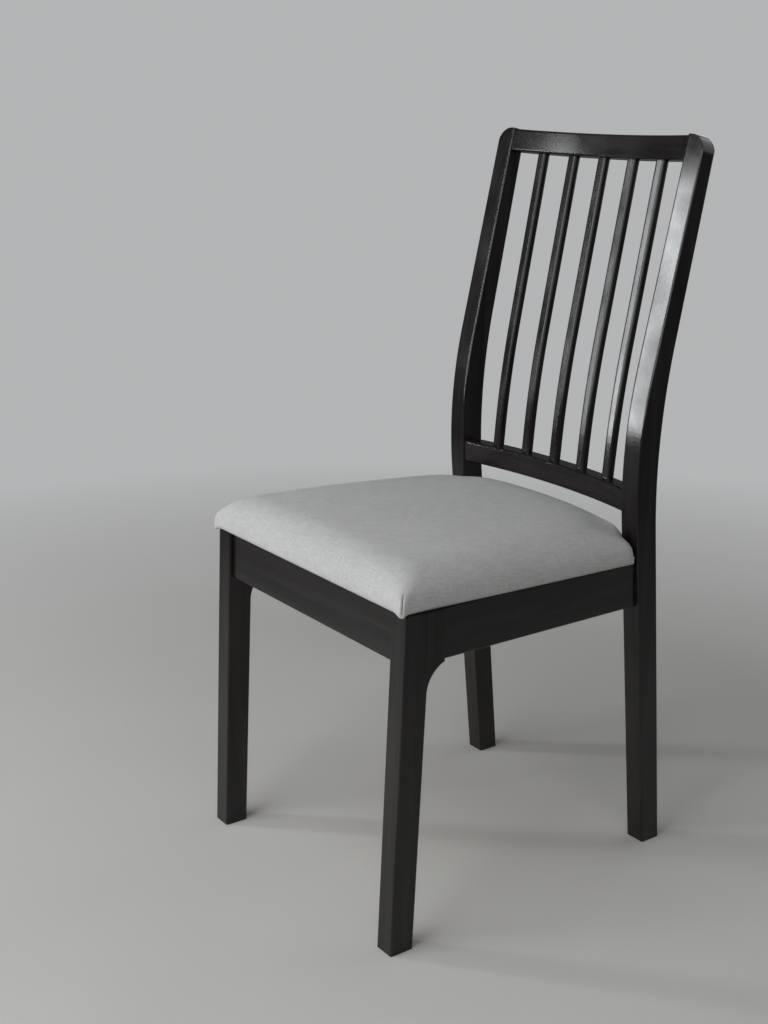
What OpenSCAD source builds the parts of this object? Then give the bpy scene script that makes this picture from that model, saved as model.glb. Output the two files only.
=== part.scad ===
// Dining chair with an upholstered seat and a slatted, gently bent back.
// The origin is on the floor under the middle of the chair. +Z is up and the front faces -Y.
// Right is +X: the right-hand side of someone who looks at the chair's front.

/* [Overall] */
// Height to the top of the rear posts
overall_h = 954; // [860:1:1150]
// Width across the front legs
overall_w = 430; // [400:1:520]
// Depth from the front feet to the back of the crest rail
overall_d = 516; // [470:1:625]
// Width across the rear posts
back_w = 385; // [350:1:470]

/* [Front legs] */
// Width of a front leg across the chair
leg_w = 30; // [24:0.5:36]
// Depth of a front leg at the floor
leg_foot_d = 33.5; // [28:0.5:40]
// Depth of a front leg at the height of the seat
leg_seat_d = 35.5; // [30:0.5:43]
// Backward lean of the front legs, in degrees
leg_rake = 2.6; // [0:0.1:5]
// Radius of the haunch that leads from a leg into its side rail
haunch_r = 40; // [25:1:50]
// Depth of the leg's head, where the side rail starts
leg_head_d = 58; // [48:1:70]

/* [Rear posts] */
// Width of a rear post across the chair
post_w = 30; // [26:0.5:36]
// Depth of a rear post at the floor
post_foot_d = 32; // [28:0.5:38]
// Depth of a rear post at the seat
post_seat_d = 34.7; // [30:0.1:41]
// Thickness of a rear post at its top
post_top_d = 21.7; // [21.5:0.1:26]
// Backward splay of the rear feet, in degrees
foot_splay = 5.8; // [3:0.1:8]
// Backward lean of the upper posts, in degrees
back_lean = 12.9; // [8:0.1:16]
// How much less the back face of the upper posts leans, in degrees
post_taper = 1.4; // [0.5:0.1:2]
// Height at which the two straight stretches of a post's front would meet
bend_h = 570; // [540:1:600]
// Radius of the bend on the front face
bend_r = 625; // [400:5:750]
// Radius of the bend on the back face
bend_back_r = 850; // [500:5:1000]
// Radius of the outer corner at the top of a post
post_corner_r = 24; // [10:0.5:25]

/* [Seat frame] */
// Height of the rails' top edge at the front legs
rail_top_h = 437; // [400:1:460]
// Fall of the seat towards the back, in degrees
seat_slope = 2.4; // [0:0.1:4]
// Height of the front rail
front_rail_h = 65; // [55:1:80]
// Height of the side and rear rails
side_rail_h = 62; // [52:1:75]
// Thickness of the front and rear rails
cross_rail_t = 22; // [18:0.5:26]
// Thickness of the side rails
side_rail_t = 20; // [16:0.5:24]
// How far the front and rear rails stand back from the faces of the legs and posts
rail_setback = 5; // [2:0.5:7]
// How far a side rail stands back from the leg's outer face
side_setback = 1.5; // [0.5:0.5:4]
// How far a side rail stands back from the post's outer face
side_rear_setback = 5; // [3:0.5:8]

/* [Backrest] */
// Height of the crest rail
crest_h = 30; // [26:1:40]
// Thickness of the crest rail
crest_t = 19; // [17:0.5:20]
// How far the crest rail's top lies under the tops of the posts
crest_drop = 1; // [0.5:0.5:4]
// How far the crest rail's ends stand back from the posts' front
crest_setback = 2; // [1:0.5:3]
// Height of the middle of the lower back rail
lower_rail_mid_h = 498.5; // [490:0.5:515]
// Height of the lower back rail
lower_rail_h = 31; // [26:1:38]
// Thickness of the lower back rail
lower_rail_t = 22; // [20:0.5:27]
// How far the lower back rail's ends stand back from the posts' front
lower_setback = 3; // [2:0.5:5]
// How far the back bows out behind a straight line between the posts
back_bow = 15; // [8:0.5:22]
// Number of slats
slat_count = 5; // [3:1:5]
// Spacing of the slats
slat_pitch = 55.8; // [40:0.2:68]
// Width of a slat
slat_w = 16; // [13:0.5:20]
// Depth of a slat
slat_d = 11; // [9:0.5:13.5]
// Radius of a slat's eased edges
slat_round = 4; // [1.5:0.25:4.25]
// Lean of a slat at its lower end, in degrees
slat_lean_low = 3; // [2:0.1:5]
// Lean of a slat at its upper end, in degrees
slat_lean_high = 10.9; // [9:0.1:14]
// Radius of a slat's bend
slat_bend_r = 1450; // [800:10:1500]
// How far a slat's middle stands behind the middle of the lower back rail
slat_low_shift = 3.5; // [0:0.5:4]
// Length of the tenon on each end of a slat
tenon_l = 10; // [6:0.5:14]
// Width of the shoulder around a tenon
tenon_shoulder = 2; // [1:0.5:3]

/* [Seat pad] */
// Overhang of the pad in front of the front legs
pad_front = 12; // [6:0.5:16]
// Overhang of the pad beside each front leg
pad_side = 4; // [2:0.5:8]
// Overhang of the pad's rear corners beside each post
pad_rear_side = 8.5; // [4:0.5:12]
// Reach of the pad's back edge behind the posts' front
pad_back = 19; // [10:0.5:24]
// Height of the pad's front corners above the rails
pad_front_h = 41; // [35:1:50]
// Height of the pad's rear corners above the rails
pad_rear_h = 37; // [32:1:46]
// Height of the pad's crown above the rails
pad_crown_h = 50; // [42:1:60]
// Radius of the pad's corners and top edges
pad_round = 22; // [14:1:26]
// Clearance between the pad and a rear post
pad_post_gap = 2; // [1:0.5:4]
// Thickness of the seat board
board_t = 9; // [6:0.5:12]
// Distance from the pad's edge to the edge of the board
board_inset = 7; // [6:0.5:12]
// Thickness of the cover
cover_t = 1.2; // [0.8:0.1:2]
// Width of the cover's hem under the board
hem_w = 32; // [20:1:45]

/* [Joinery] */
// Diameter of the seat rail dowels
dowel_d = 8; // [6:0.5:10]
// Length of the seat rail dowels
dowel_l = 36; // [28:1:40]
// Spacing of the two dowels in a joint of the seat frame
dowel_pitch = 32; // [28:1:36]
// Diameter of the backrest dowels
back_dowel_d = 6; // [5:0.5:8]
// Length of the backrest dowels
back_dowel_l = 30; // [24:1:36]
// Spacing of the two dowels in a joint of the backrest
back_dowel_pitch = 14; // [12:1:16]
// Radial clearance of a dowel or tenon in its hole
fit = 0.1; // [0.05:0.01:0.2]
// Length of a corner block along the front or rear rail
block_l = 62; // [54:1:74]
// Height of the corner blocks
block_h = 44; // [40:1:48]
// Diameter of the leg bolts
bolt_d = 6; // [5:0.5:7]
// Diameter of the threaded inserts in the legs and posts
insert_d = 9; // [8:0.5:10]
// Radius of the eased edges of the frame
edge_r = 2.5; // [1:0.25:3]

/* [Hidden] */

wood = "#2b2624";
plywood = "#c9ab7c";
beech = "#d8b98c";
steel = "#b9bcc0";
foam = "#e9e2c8";
cloth = "#bdbab4";

reach = 120;              // depth of a swept section, more than any timber is deep
run_on = 100;             // overrun of a piece past the plane that trims it
round_fn = 64;            // segments of a small full circle
bend_fn = 720;            // segments of a large full circle
pad_fn = 28;              // segments of the pad's corners
bend_steps = 36;          // steps of a post's bend
slat_steps = 20;          // steps of a slat's bend
ring_facets = 3;          // facets of an eased edge in a loft

// ---- lines in the side view: [[y, z], lean in degrees], where a lean of 0 runs straight up ----

function along_dir(lean) = [sin(lean), cos(lean)];
function behind(lean) = [cos(lean), -sin(lean)];
function shift_back(line, d) = [line[0] + d * behind(line[1]), line[1]];
function through(p, q) = [p, atan2(q[0] - p[0], q[1] - p[1])];
function cross2(a, b) = a[0] * b[1] - a[1] * b[0];
function meet(l, m) =
    let (d = along_dir(l[1]), e = along_dir(m[1]))
    l[0] + d * cross2(m[0] - l[0], e) / cross2(d, e);

// A bent run: [start, lean, first straight, radius, turn, second straight]
function bent_run(l, m, r, tail) =
    let (k = meet(l, m), turn = m[1] - l[1], cut = r * tan(turn / 2))
    [l[0], l[1], norm(k - l[0]) - cut, r, turn, tail];
function bend_centre(run) =
    run[0] + run[2] * along_dir(run[1]) + run[3] * behind(run[1]);
function lean_at(run, z) = asin((z - bend_centre(run)[1]) / run[3]);
function bend_point(run, z) = bend_centre(run) - run[3] * behind(lean_at(run, z));

// Front legs
foot_front = [-overall_d / 2, 0];
leg_front = [foot_front, leg_rake];
seat_front = foot_front + rail_top_h * [tan(leg_rake), 1];
leg_back = through(foot_front + [leg_foot_d, 0], seat_front + [leg_seat_d, 0]);
seat_lean = 90 + seat_slope;
seat_line = [seat_front, seat_lean];
head_line = [seat_front + leg_head_d * along_dir(seat_lean), seat_slope];
side_under = shift_back(seat_line, side_rail_h);
leg_back_start = leg_back[0] - run_on * along_dir(leg_back[1]);
haunch_run = bent_run([leg_back_start, leg_back[1]], side_under, haunch_r, run_on);

// Rear posts
crest_ease = edge_r * (cos(back_lean) + sin(back_lean) - 1);
crest_back_d = crest_setback + back_bow + crest_t;
post_top_y = overall_d / 2 + crest_ease + crest_drop * sin(back_lean)
    - crest_back_d * cos(back_lean);
post_top = [post_top_y, overall_h];
knee = post_top - (overall_h - bend_h) * [tan(back_lean), 1];
foot_rear = knee + bend_h * [tan(foot_splay), -1];
post_front = [foot_rear, -foot_splay];
seat_rear = meet(seat_line, post_front);
post_back = through(foot_rear + [post_foot_d, 0], seat_rear + [post_seat_d, 0]);
upper_front = [post_top, back_lean];
upper_back = [post_top + post_top_d * behind(back_lean), back_lean - post_taper];
upper_l = norm(post_top - knee);
front_run = bent_run(post_front, upper_front, bend_r, upper_l);
back_run = bent_run(post_back, upper_back, bend_back_r, upper_l);
seat_l = norm(seat_rear - seat_front);

leg_x = overall_w / 2 - leg_w / 2;
leg_in = overall_w / 2 - leg_w;
post_x = back_w / 2 - post_w / 2;
post_in = back_w / 2 - post_w;

// Crest rail, lower back rail and slats
crest_mid = post_top - (crest_drop + crest_h / 2) * along_dir(back_lean);
lower_lean = lean_at(front_run, lower_rail_mid_h);
lower_mid = bend_point(front_run, lower_rail_mid_h);
crest_under = [crest_mid - crest_h / 2 * along_dir(back_lean), back_lean + 90];
lower_over = [lower_mid + lower_rail_h / 2 * along_dir(lower_lean), lower_lean + 90];
slat_high = crest_under[0] + (crest_setback + crest_t / 2) * behind(back_lean);
slat_low = lower_over[0]
    + (lower_setback + lower_rail_t / 2 + slat_low_shift) * behind(lower_lean);
slat_start = slat_low - run_on * along_dir(slat_lean_low);
slat_run = bent_run([slat_start, slat_lean_low], [slat_high, slat_lean_high], slat_bend_r,
    norm(slat_high - slat_low));
tenon_ease = 1;
bow_r = (pow(post_in, 2) + pow(back_bow, 2)) / (2 * back_bow);
function slat_x(i) = (i - (slat_count + 1) / 2) * slat_pitch;
function bow_at(x) = back_bow - bow_r + sqrt(pow(bow_r, 2) - pow(x, 2));

// Seat frame in plan, on the sloping plane of the rails' tops
function post_plan_y(z) = seat_l - z * tan(foot_splay + seat_slope);
side_x_front = overall_w / 2 - side_setback;
side_x_rear = back_w / 2 - side_rear_setback;
side_turn = atan((side_x_front - side_x_rear) / (seat_l - leg_head_d));
side_in_front = side_x_front - side_rail_t / cos(side_turn);
side_in_rear = side_x_rear - side_rail_t / cos(side_turn);
front_in = rail_setback + cross_rail_t;
rear_in = seat_l + rail_setback;
rail_ease = 1.5;

// Joinery
hole_spare = 0.5;         // spare depth of a hole past the end of its dowel or screw
post_dowel_hold = 10;     // how far a side rail's dowels reach into the post
rail_mid_z = -side_rail_h / 2;
block_drop = 1;           // the blocks lie this far under the rails' tops
block_bottom = -block_drop - block_h;
bolt_z = rail_mid_z;
bolt_leg_y = front_in + 18;
bolt_hold = 27;           // how far a bolt reaches into a leg or post
bolt_head_d = 10;
bolt_head_h = 6;
bolt_socket_w = 5;        // across the flats
bolt_clear = 0.25;        // radial clearance of a bolt in its block
washer_d = 18;
washer_t = 1.6;
insert_l = 13;
screw_d = 4;
screw_head_d = 8;
screw_head_h = 2.5;
screw_sink = 4.5;         // depth of a wing screw's head under the block's long face
screw_z = -14;            // height of the screws through the wings of a block
screw_hold = 10;          // how far a wing screw reaches into its rail
seat_screw_hold = 7;      // how far a seat screw reaches into the seat board
seat_screw_sink = 18;     // depth of the counterbore under a seat screw
wing_x = 43;              // from a leg or post to the screws in the blocks' cross wings
wing_y = 55;              // from the rear rail to the screws in the rear blocks' side wings
dowel_clear_y = 6;        // from the side rails' front dowels to the screws beside them
seat_screw_front_x = 25;  // from a leg to the seat screw in its block, sideways
seat_screw_front_y = 21;  // from the front rail to the seat screw behind it
seat_screw_rear_x = 5;    // from a post to the seat screw in its block, sideways
seat_screw_rear_y = 25;   // from a post's front to the seat screw ahead of it

// A block's long face in plan: y - x is constant at the front, y + x at the rear
front_hyp = front_in - leg_in + block_l;
rear_hyp = rear_in + post_in - block_l;
turn_t = tan(side_turn);
function side_in_x(y) = side_in_front - (y - leg_head_d) * turn_t;
front_tip_x = (side_in_front + (leg_head_d - front_hyp) * turn_t) / (1 + turn_t);
rear_tip_x = (side_in_rear + (seat_l - rear_hyp) * turn_t) / (1 - turn_t);
front_bolt_sum = leg_in + bolt_leg_y;
rear_bolt_diff = post_plan_y(bolt_z) - post_in;
front_bolt_at = [front_bolt_sum - front_hyp, front_bolt_sum + front_hyp] / 2;
rear_bolt_at = [rear_hyp - rear_bolt_diff, rear_hyp + rear_bolt_diff] / 2;
front_bolt_l = (leg_in - front_bolt_at[0]) * sqrt(2) + bolt_hold;
rear_bolt_l = (post_in - rear_bolt_at[0]) * sqrt(2) + bolt_hold;

// Wing screws: the place of the head's top in plan, and the length into the rail
front_cross_at = [leg_in - wing_x, leg_in - wing_x + front_hyp - screw_sink];
front_cross_l = front_cross_at[1] - front_in + screw_hold;
front_side_y = leg_head_d + dowel_l / 2 + dowel_clear_y;
front_side_at = [front_side_y - front_hyp + screw_sink, front_side_y];
front_side_l = side_in_x(front_side_y) - front_side_at[0] + screw_hold;
rear_cross_at = [post_in - wing_x, rear_hyp - post_in + wing_x + screw_sink];
rear_cross_l = post_plan_y(screw_z) + rail_setback - rear_cross_at[1] + screw_hold;
rear_side_y = rear_in - wing_y;
rear_side_at = [rear_hyp - rear_side_y + screw_sink, rear_side_y];
rear_side_l = side_in_x(rear_side_y) - rear_side_at[0] + screw_hold;
seat_screw_front = [leg_in - seat_screw_front_x, front_in + seat_screw_front_y];
seat_screw_rear = [post_in - seat_screw_rear_x, seat_l - seat_screw_rear_y];
seat_screw_z = block_bottom + seat_screw_sink;
seat_screw_l = seat_screw_hold + cover_t - seat_screw_z;

// Seat pad in plan
pad_x_front = overall_w / 2 + pad_side;
pad_x_rear = back_w / 2 + pad_rear_side;
pad_slope = (pad_x_rear - pad_x_front) / (seat_l + pad_front);
pad_x_end = pad_x_rear + pad_slope * pad_back;
pad_l = seat_l + pad_back;
pad_edge = 4.5;           // rounding of the pad's lower edge
foam_gap = 0.3;

// ---- helpers ----

// A 2-D shape in [y, z], as a slab across the middle of the chair
module side_view(width) {
    rotate([90, 0, 90])
        linear_extrude(width, center = true)
            children();
}

// A 2-D section in [across, backward] carried along a bent run
module along(run) {
    translate([0, run[0][0], run[0][1]])
        rotate([-run[1], 0, 0]) {
            linear_extrude(run[2])
                children();
            translate([0, run[3], run[2]])
                rotate([0, -90, 0])
                    rotate([0, 0, -90])
                        rotate_extrude(angle = run[4], $fn = bend_fn)
                            translate([run[3], 0])
                                rotate(90)
                                    mirror([1, 0])
                                        children();
            translate([0, run[3] * (1 - cos(run[4])), run[2] + run[3] * sin(run[4])])
                rotate([-run[4], 0, 0])
                    linear_extrude(run[5])
                        children();
        }
}

// A rectangle from p, with each corner named in at eased to the radius r
module eased(p, size, r, at = [1, 1, 1, 1]) {
    far_corner = p + size;
    corners = [p, [far_corner[0], p[1]], far_corner, [p[0], far_corner[1]]];
    inward = [[1, 1], [-1, 1], [-1, -1], [1, -1]];
    difference() {
        translate(p)
            square(size);
        for (i = [0:3])
            if (at[i] == 1)
                difference() {
                    translate(corners[i])
                        square(2 * r, center = true);
                    translate(corners[i] + r * inward[i])
                        circle(r, $fn = round_fn);
                }
    }
}

// The seat's own frame: the origin at the legs' front, +Z square to the rails' tops
module on_seat() {
    translate([0, seat_front[0], seat_front[1]])
        rotate([-seat_slope, 0, 0])
            children();
}

module at_lean(p, lean) {
    translate([0, p[0], p[1]])
        rotate([-lean, 0, 0])
            children();
}

// A section of width w about x, from f on the front line to b on the back line, eased by r
function ring(x, f, b, w, r) =
    let (d = norm(b - f), n = (b - f) / d, h = w / 2 - r)
    [for (c = [[-h, r, 180], [h, r, 270], [h, d - r, 0], [-h, d - r, 90]],
        turn = [0:90 / ring_facets:90])
        let (q = [c[0] + r * cos(c[2] + turn), c[1] + r * sin(c[2] + turn)])
        [x + q[0], f[0] + n[0] * q[1], f[1] + n[1] * q[1]]];

// A solid through a row of rings
module loft(rings) {
    m = len(rings[0]);
    last = (len(rings) - 1) * m;
    polyhedron(
        points = [for (r = rings) each r],
        faces = concat(
            [[for (j = [0:m - 1]) j]],
            [for (i = [0:m:last - m], j = [0:m - 1])
                [i + j, i + m + j, i + m + (j + 1) % m, i + (j + 1) % m]],
            [[for (j = [m - 1:-1:0]) last + j]]
        )
    );
}

module on_side(s) {
    if (s < 0)
        mirror([1, 0, 0])
            children();
    else
        children();
}

module both_sides() {
    for (s = [-1, 1])
        on_side(s)
            children();
}

module pin_x(d, l) {
    rotate([0, 90, 0])
        cylinder(d = d, h = l, center = true, $fn = round_fn);
}

module pin_y(d, l) {
    rotate([90, 0, 0])
        cylinder(d = d, h = l, center = true, $fn = round_fn);
}

// ---- right-hand joinery, drawn once and grown by g and e where it is a hole ----

module front_rail_pins(g = 0, e = 0) {
    on_seat()
        for (k = [-0.5, 0.5])
            translate([leg_in, rail_setback + cross_rail_t / 2, rail_mid_z + k * dowel_pitch])
                pin_x(dowel_d + 2 * g, dowel_l + 2 * e);
}

module side_rail_front_pins(g = 0, e = 0) {
    on_seat()
        for (k = [-0.5, 0.5])
            translate([side_x_front - side_rail_t / 2, leg_head_d, rail_mid_z + k * dowel_pitch])
                pin_y(dowel_d + 2 * g, dowel_l + 2 * e);
}

module side_rail_rear_pins(g = 0, e = 0) {
    on_seat()
        for (k = [-0.5, 0.5])
            translate([side_x_rear - side_rail_t / 2, seat_l + post_dowel_hold - dowel_l / 2,
                    rail_mid_z + k * dowel_pitch])
                pin_y(dowel_d + 2 * g, dowel_l + 2 * e);
}

module rear_rail_pins(g = 0, e = 0) {
    at_lean(seat_rear, -foot_splay)
        for (k = [-0.5, 0.5])
            translate([post_in, rail_setback + cross_rail_t / 2, rail_mid_z + k * dowel_pitch])
                pin_x(dowel_d + 2 * g, dowel_l + 2 * e);
}

module crest_pins(g = 0, e = 0) {
    at_lean(crest_mid, back_lean)
        for (k = [-0.5, 0.5])
            translate([post_in, crest_setback + crest_t / 2, k * back_dowel_pitch])
                pin_x(back_dowel_d + 2 * g, back_dowel_l + 2 * e);
}

module lower_rail_pins(g = 0, e = 0) {
    at_lean(lower_mid, lower_lean)
        for (k = [-0.5, 0.5])
            translate([post_in, lower_setback + lower_rail_t / 2, k * back_dowel_pitch])
                pin_x(back_dowel_d + 2 * g, back_dowel_l + 2 * e);
}

// ---- bolts and screws: the children's +Z points into the wood ----

module at_front_bolt() {
    on_seat()
        translate([front_bolt_at[0], front_bolt_at[1], bolt_z])
            rotate([0, 0, -45])
                rotate([0, 90, 0])
                    children();
}

module at_rear_bolt() {
    on_seat()
        translate([rear_bolt_at[0], rear_bolt_at[1], bolt_z])
            rotate([0, 0, 45])
                rotate([0, 90, 0])
                    children();
}

module bolt(l) {
    difference() {
        union() {
            translate([0, 0, -washer_t])
                cylinder(d = bolt_d, h = l + washer_t, $fn = round_fn);
            translate([0, 0, -washer_t - bolt_head_h])
                cylinder(d = bolt_head_d, h = bolt_head_h, $fn = round_fn);
        }
        translate([0, 0, -washer_t - bolt_head_h - 1])
            cylinder(d = bolt_socket_w / cos(30), h = bolt_head_h / 2 + 1, $fn = 6);
    }
}

module washer() {
    translate([0, 0, -washer_t])
        difference() {
            cylinder(d = washer_d, h = washer_t, $fn = round_fn);
            translate([0, 0, -1])
                cylinder(d = bolt_d + 2 * fit, h = washer_t + 2, $fn = round_fn);
        }
}

module insert(l) {
    difference() {
        translate([0, 0, l - insert_l])
            cylinder(d = insert_d, h = insert_l, $fn = round_fn);
        cylinder(d = bolt_d + 2 * fit, h = l + 1, $fn = round_fn);
    }
}

module bolt_hole(l) {
    translate([0, 0, -run_on])
        cylinder(d = bolt_d + 2 * bolt_clear, h = l + hole_spare + run_on, $fn = round_fn);
}

module insert_hole(l) {
    cylinder(d = insert_d + 2 * fit, h = l + hole_spare, $fn = round_fn);
}

module screw(l, g = 0, e = 0) {
    cylinder(d = screw_d + 2 * g, h = l + e, $fn = round_fn);
    cylinder(d1 = screw_head_d + 2 * g, d2 = screw_d + 2 * g, h = screw_head_h, $fn = round_fn);
}

module screw_hole(l) {
    screw(l, fit, hole_spare);
    translate([0, 0, -run_on])
        cylinder(d = screw_head_d + 2 * fit, h = run_on, $fn = round_fn);
}

module at_front_cross_screw() {
    on_seat()
        translate([front_cross_at[0], front_cross_at[1], screw_z])
            rotate([90, 0, 0])
                children();
}

module at_front_side_screw() {
    on_seat()
        translate([front_side_at[0], front_side_at[1], screw_z])
            rotate([0, 90, 0])
                children();
}

module at_rear_cross_screw() {
    on_seat()
        translate([rear_cross_at[0], rear_cross_at[1], screw_z])
            rotate([-90, 0, 0])
                children();
}

module at_rear_side_screw() {
    on_seat()
        translate([rear_side_at[0], rear_side_at[1], screw_z])
            rotate([0, 90, 0])
                children();
}

module at_seat_screw(p) {
    on_seat()
        translate([p[0], p[1], seat_screw_z])
            children();
}

// ---- legs and posts ----

module front_leg() {
    side_points = [
        [foot_front[0] - run_on, 0],
        [head_line[0][0] - head_line[0][1] * tan(seat_slope), 0],
        head_line[0],
        seat_front - run_on * along_dir(seat_lean)
    ];
    color(wood)
        difference() {
            intersection() {
                intersection() {
                    translate([leg_x, 0, 0])
                        at_lean(foot_front - run_on * along_dir(leg_rake), leg_rake)
                            linear_extrude(rail_top_h + 2 * run_on)
                                eased([-leg_w / 2, 0], [leg_w, reach], edge_r, [1, 1, 0, 0]);
                    side_view(2 * overall_w)
                        polygon(side_points);
                }
                translate([leg_x, 0, 0])
                    along(haunch_run)
                        eased([-leg_w / 2, -reach], [leg_w, reach], edge_r, [0, 0, 1, 1]);
            }
            front_rail_pins(fit, hole_spare);
            side_rail_front_pins(fit, hole_spare);
            at_front_bolt()
                insert_hole(front_bolt_l);
        }
}

function bend_step(run, k, steps) =
    bend_centre(run) - run[3] * behind(run[1] + run[4] * k / steps);

module post_loft() {
    steps = bend_steps;
    loft(concat(
        [ring(post_x, foot_rear, foot_rear + [post_foot_d, 0], post_w, edge_r)],
        [for (k = [0:steps])
            ring(post_x, bend_step(front_run, k, steps), bend_step(back_run, k, steps),
                post_w, edge_r)],
        [ring(post_x, post_top + post_w * along_dir(upper_front[1]),
            upper_back[0] + post_w * along_dir(upper_back[1]), post_w, edge_r)]
    ));
}

module rear_post() {
    color(wood)
        difference() {
            intersection() {
                post_loft();
                at_lean(post_top, back_lean)
                    rotate([90, 0, 0])
                        linear_extrude(2 * overall_h, center = true)
                            eased([post_in - post_w, -2 * overall_h],
                                [2 * post_w, 2 * overall_h], post_corner_r, [0, 0, 1, 0]);
            }
            side_rail_rear_pins(fit, hole_spare);
            rear_rail_pins(fit, hole_spare);
            crest_pins(fit, hole_spare);
            lower_rail_pins(fit, hole_spare);
            at_rear_bolt()
                insert_hole(rear_bolt_l);
        }
}

// ---- seat frame ----

module front_rail() {
    color(wood)
        difference() {
            on_seat()
                side_view(2 * leg_in)
                    eased([rail_setback, -front_rail_h], [cross_rail_t, front_rail_h], rail_ease);
            both_sides() {
                front_rail_pins(fit, hole_spare);
                at_front_cross_screw()
                    screw_hole(front_cross_l);
            }
        }
}

module rear_rail() {
    front_line = shift_back(post_front, rail_setback);
    back_line = shift_back(front_line, cross_rail_t);
    color(wood)
        difference() {
            side_view(2 * post_in)
                polygon([
                    meet(front_line, seat_line),
                    meet(back_line, seat_line),
                    meet(back_line, side_under),
                    meet(front_line, side_under)
                ]);
            both_sides() {
                rear_rail_pins(fit, hole_spare);
                at_rear_cross_screw()
                    screw_hole(rear_cross_l);
                at_rear_bolt()
                    bolt_hole(rear_bolt_l);
            }
        }
}

module side_rail() {
    post_dir = along_dir(-foot_splay);
    head_dir = along_dir(seat_slope);
    bar_l = seat_l + 2 * run_on;
    color(wood)
        difference() {
            intersection() {
                on_seat()
                    translate([side_x_front, leg_head_d, 0])
                        rotate([0, 0, side_turn])
                            translate([0, bar_l - run_on, 0])
                                rotate([90, 0, 0])
                                    linear_extrude(bar_l)
                                        eased([-side_rail_t, -side_rail_h],
                                            [side_rail_t, side_rail_h], rail_ease);
                side_view(2 * overall_w)
                    polygon([
                        head_line[0] + run_on * head_dir,
                        head_line[0] - run_on * head_dir,
                        seat_rear - run_on * post_dir,
                        seat_rear + run_on * post_dir
                    ]);
            }
            side_rail_front_pins(fit, hole_spare);
            side_rail_rear_pins(fit, hole_spare);
            at_front_side_screw()
                screw_hole(front_side_l);
            at_rear_side_screw()
                screw_hole(rear_side_l);
            at_rear_bolt()
                bolt_hole(rear_bolt_l);
        }
}

module front_block() {
    color(beech)
        difference() {
            on_seat()
                translate([0, 0, block_bottom])
                    linear_extrude(block_h)
                        polygon([
                            [leg_in - block_l, front_in],
                            [leg_in, front_in],
                            [leg_in, leg_head_d],
                            [side_in_front, leg_head_d],
                            [front_tip_x, front_tip_x + front_hyp]
                        ]);
            at_front_bolt()
                bolt_hole(front_bolt_l);
            at_front_cross_screw()
                screw_hole(front_cross_l);
            at_front_side_screw()
                screw_hole(front_side_l);
            at_seat_screw(seat_screw_front)
                screw_hole(seat_screw_l);
        }
}

// Everything behind a line in the side view
module behind_line(line) {
    d = run_on * along_dir(line[1]);
    n = run_on * behind(line[1]);
    polygon([line[0] - d, line[0] - d + n, line[0] + d + n, line[0] + d]);
}

module rear_block() {
    back_y = rear_in + run_on / 2;
    color(beech)
        difference() {
            on_seat()
                translate([0, 0, block_bottom])
                    linear_extrude(block_h)
                        polygon([
                            [rear_tip_x, rear_hyp - rear_tip_x],
                            [side_in_x(back_y), back_y],
                            [rear_hyp - back_y, back_y]
                        ]);
            side_view(2 * overall_w)
                behind_line([seat_rear + rail_setback * behind(-foot_splay), -foot_splay]);
            translate([post_in + overall_w / 2, 0, 0])
                side_view(overall_w)
                    behind_line([seat_rear, -foot_splay]);
            at_rear_bolt()
                bolt_hole(rear_bolt_l);
            at_rear_cross_screw()
                screw_hole(rear_cross_l);
            at_rear_side_screw()
                screw_hole(rear_side_l);
            at_seat_screw(seat_screw_rear)
                screw_hole(seat_screw_l);
        }
}

// ---- backrest ----

// Where a slat's middle line crosses the underside of the crest rail, shifted down by e,
// and the top of the lower rail, shifted up by e
function slat_end_high(i, e) =
    meet([slat_high + [bow_at(slat_x(i)), 0], slat_lean_high], shift_back(crest_under, e));
function slat_end_low(i, e) =
    meet([slat_low + [bow_at(slat_x(i)), 0], slat_lean_low], shift_back(lower_over, -e));

// A slat's section about p, in a plane square to plane_lean
function slat_ring(i, p, lean, plane_lean, inset, r) =
    let (n = (slat_d / 2 - inset) / cos(plane_lean - lean) * behind(plane_lean))
    ring(slat_x(i), p - n, p + n, slat_w - 2 * inset, r);
function high_ring(i, e, inset, r) =
    slat_ring(i, slat_end_high(i, e), slat_lean_high, back_lean, inset, r);
function low_ring(i, e, inset, r) =
    slat_ring(i, slat_end_low(i, e), slat_lean_low, lower_lean, inset, r);

module slat(i) {
    bow = [bow_at(slat_x(i)), 0];
    color(wood)
        loft(concat(
            [low_ring(i, -tenon_l, tenon_shoulder, tenon_ease)],
            [low_ring(i, 0, tenon_shoulder, tenon_ease)],
            [low_ring(i, 0, 0, slat_round)],
            [for (k = [0:slat_steps])
                let (p = bend_step(slat_run, k, slat_steps),
                    lean = slat_run[1] + slat_run[4] * k / slat_steps)
                if (p[1] > slat_low[1] + slat_d && p[1] < slat_high[1] - slat_d)
                    slat_ring(i, p + bow, lean, lean, 0, slat_round)],
            [high_ring(i, 0, 0, slat_round)],
            [high_ring(i, 0, tenon_shoulder, tenon_ease)],
            [high_ring(i, -tenon_l, tenon_shoulder, tenon_ease)]
        ));
}

module slat_mortises() {
    inset = tenon_shoulder - fit;
    deep = -tenon_l - hole_spare;
    for (i = [1:slat_count]) {
        loft([low_ring(i, deep, inset, tenon_ease), low_ring(i, slat_d, inset, tenon_ease)]);
        loft([high_ring(i, slat_d, inset, tenon_ease), high_ring(i, deep, inset, tenon_ease)]);
    }
}

module bowed_rail(mid, lean, setback, t, h) {
    half_turn = asin(post_in / bow_r) + 1;
    intersection() {
        at_lean(mid, lean)
            translate([0, setback + back_bow - bow_r, -h / 2])
                rotate([0, 0, 90 - half_turn])
                    rotate_extrude(angle = 2 * half_turn, $fn = bend_fn)
                        eased([bow_r, 0], [t, h], edge_r);
        cube([2 * post_in, 4 * overall_d, 4 * overall_h], center = true);
    }
}

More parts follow.
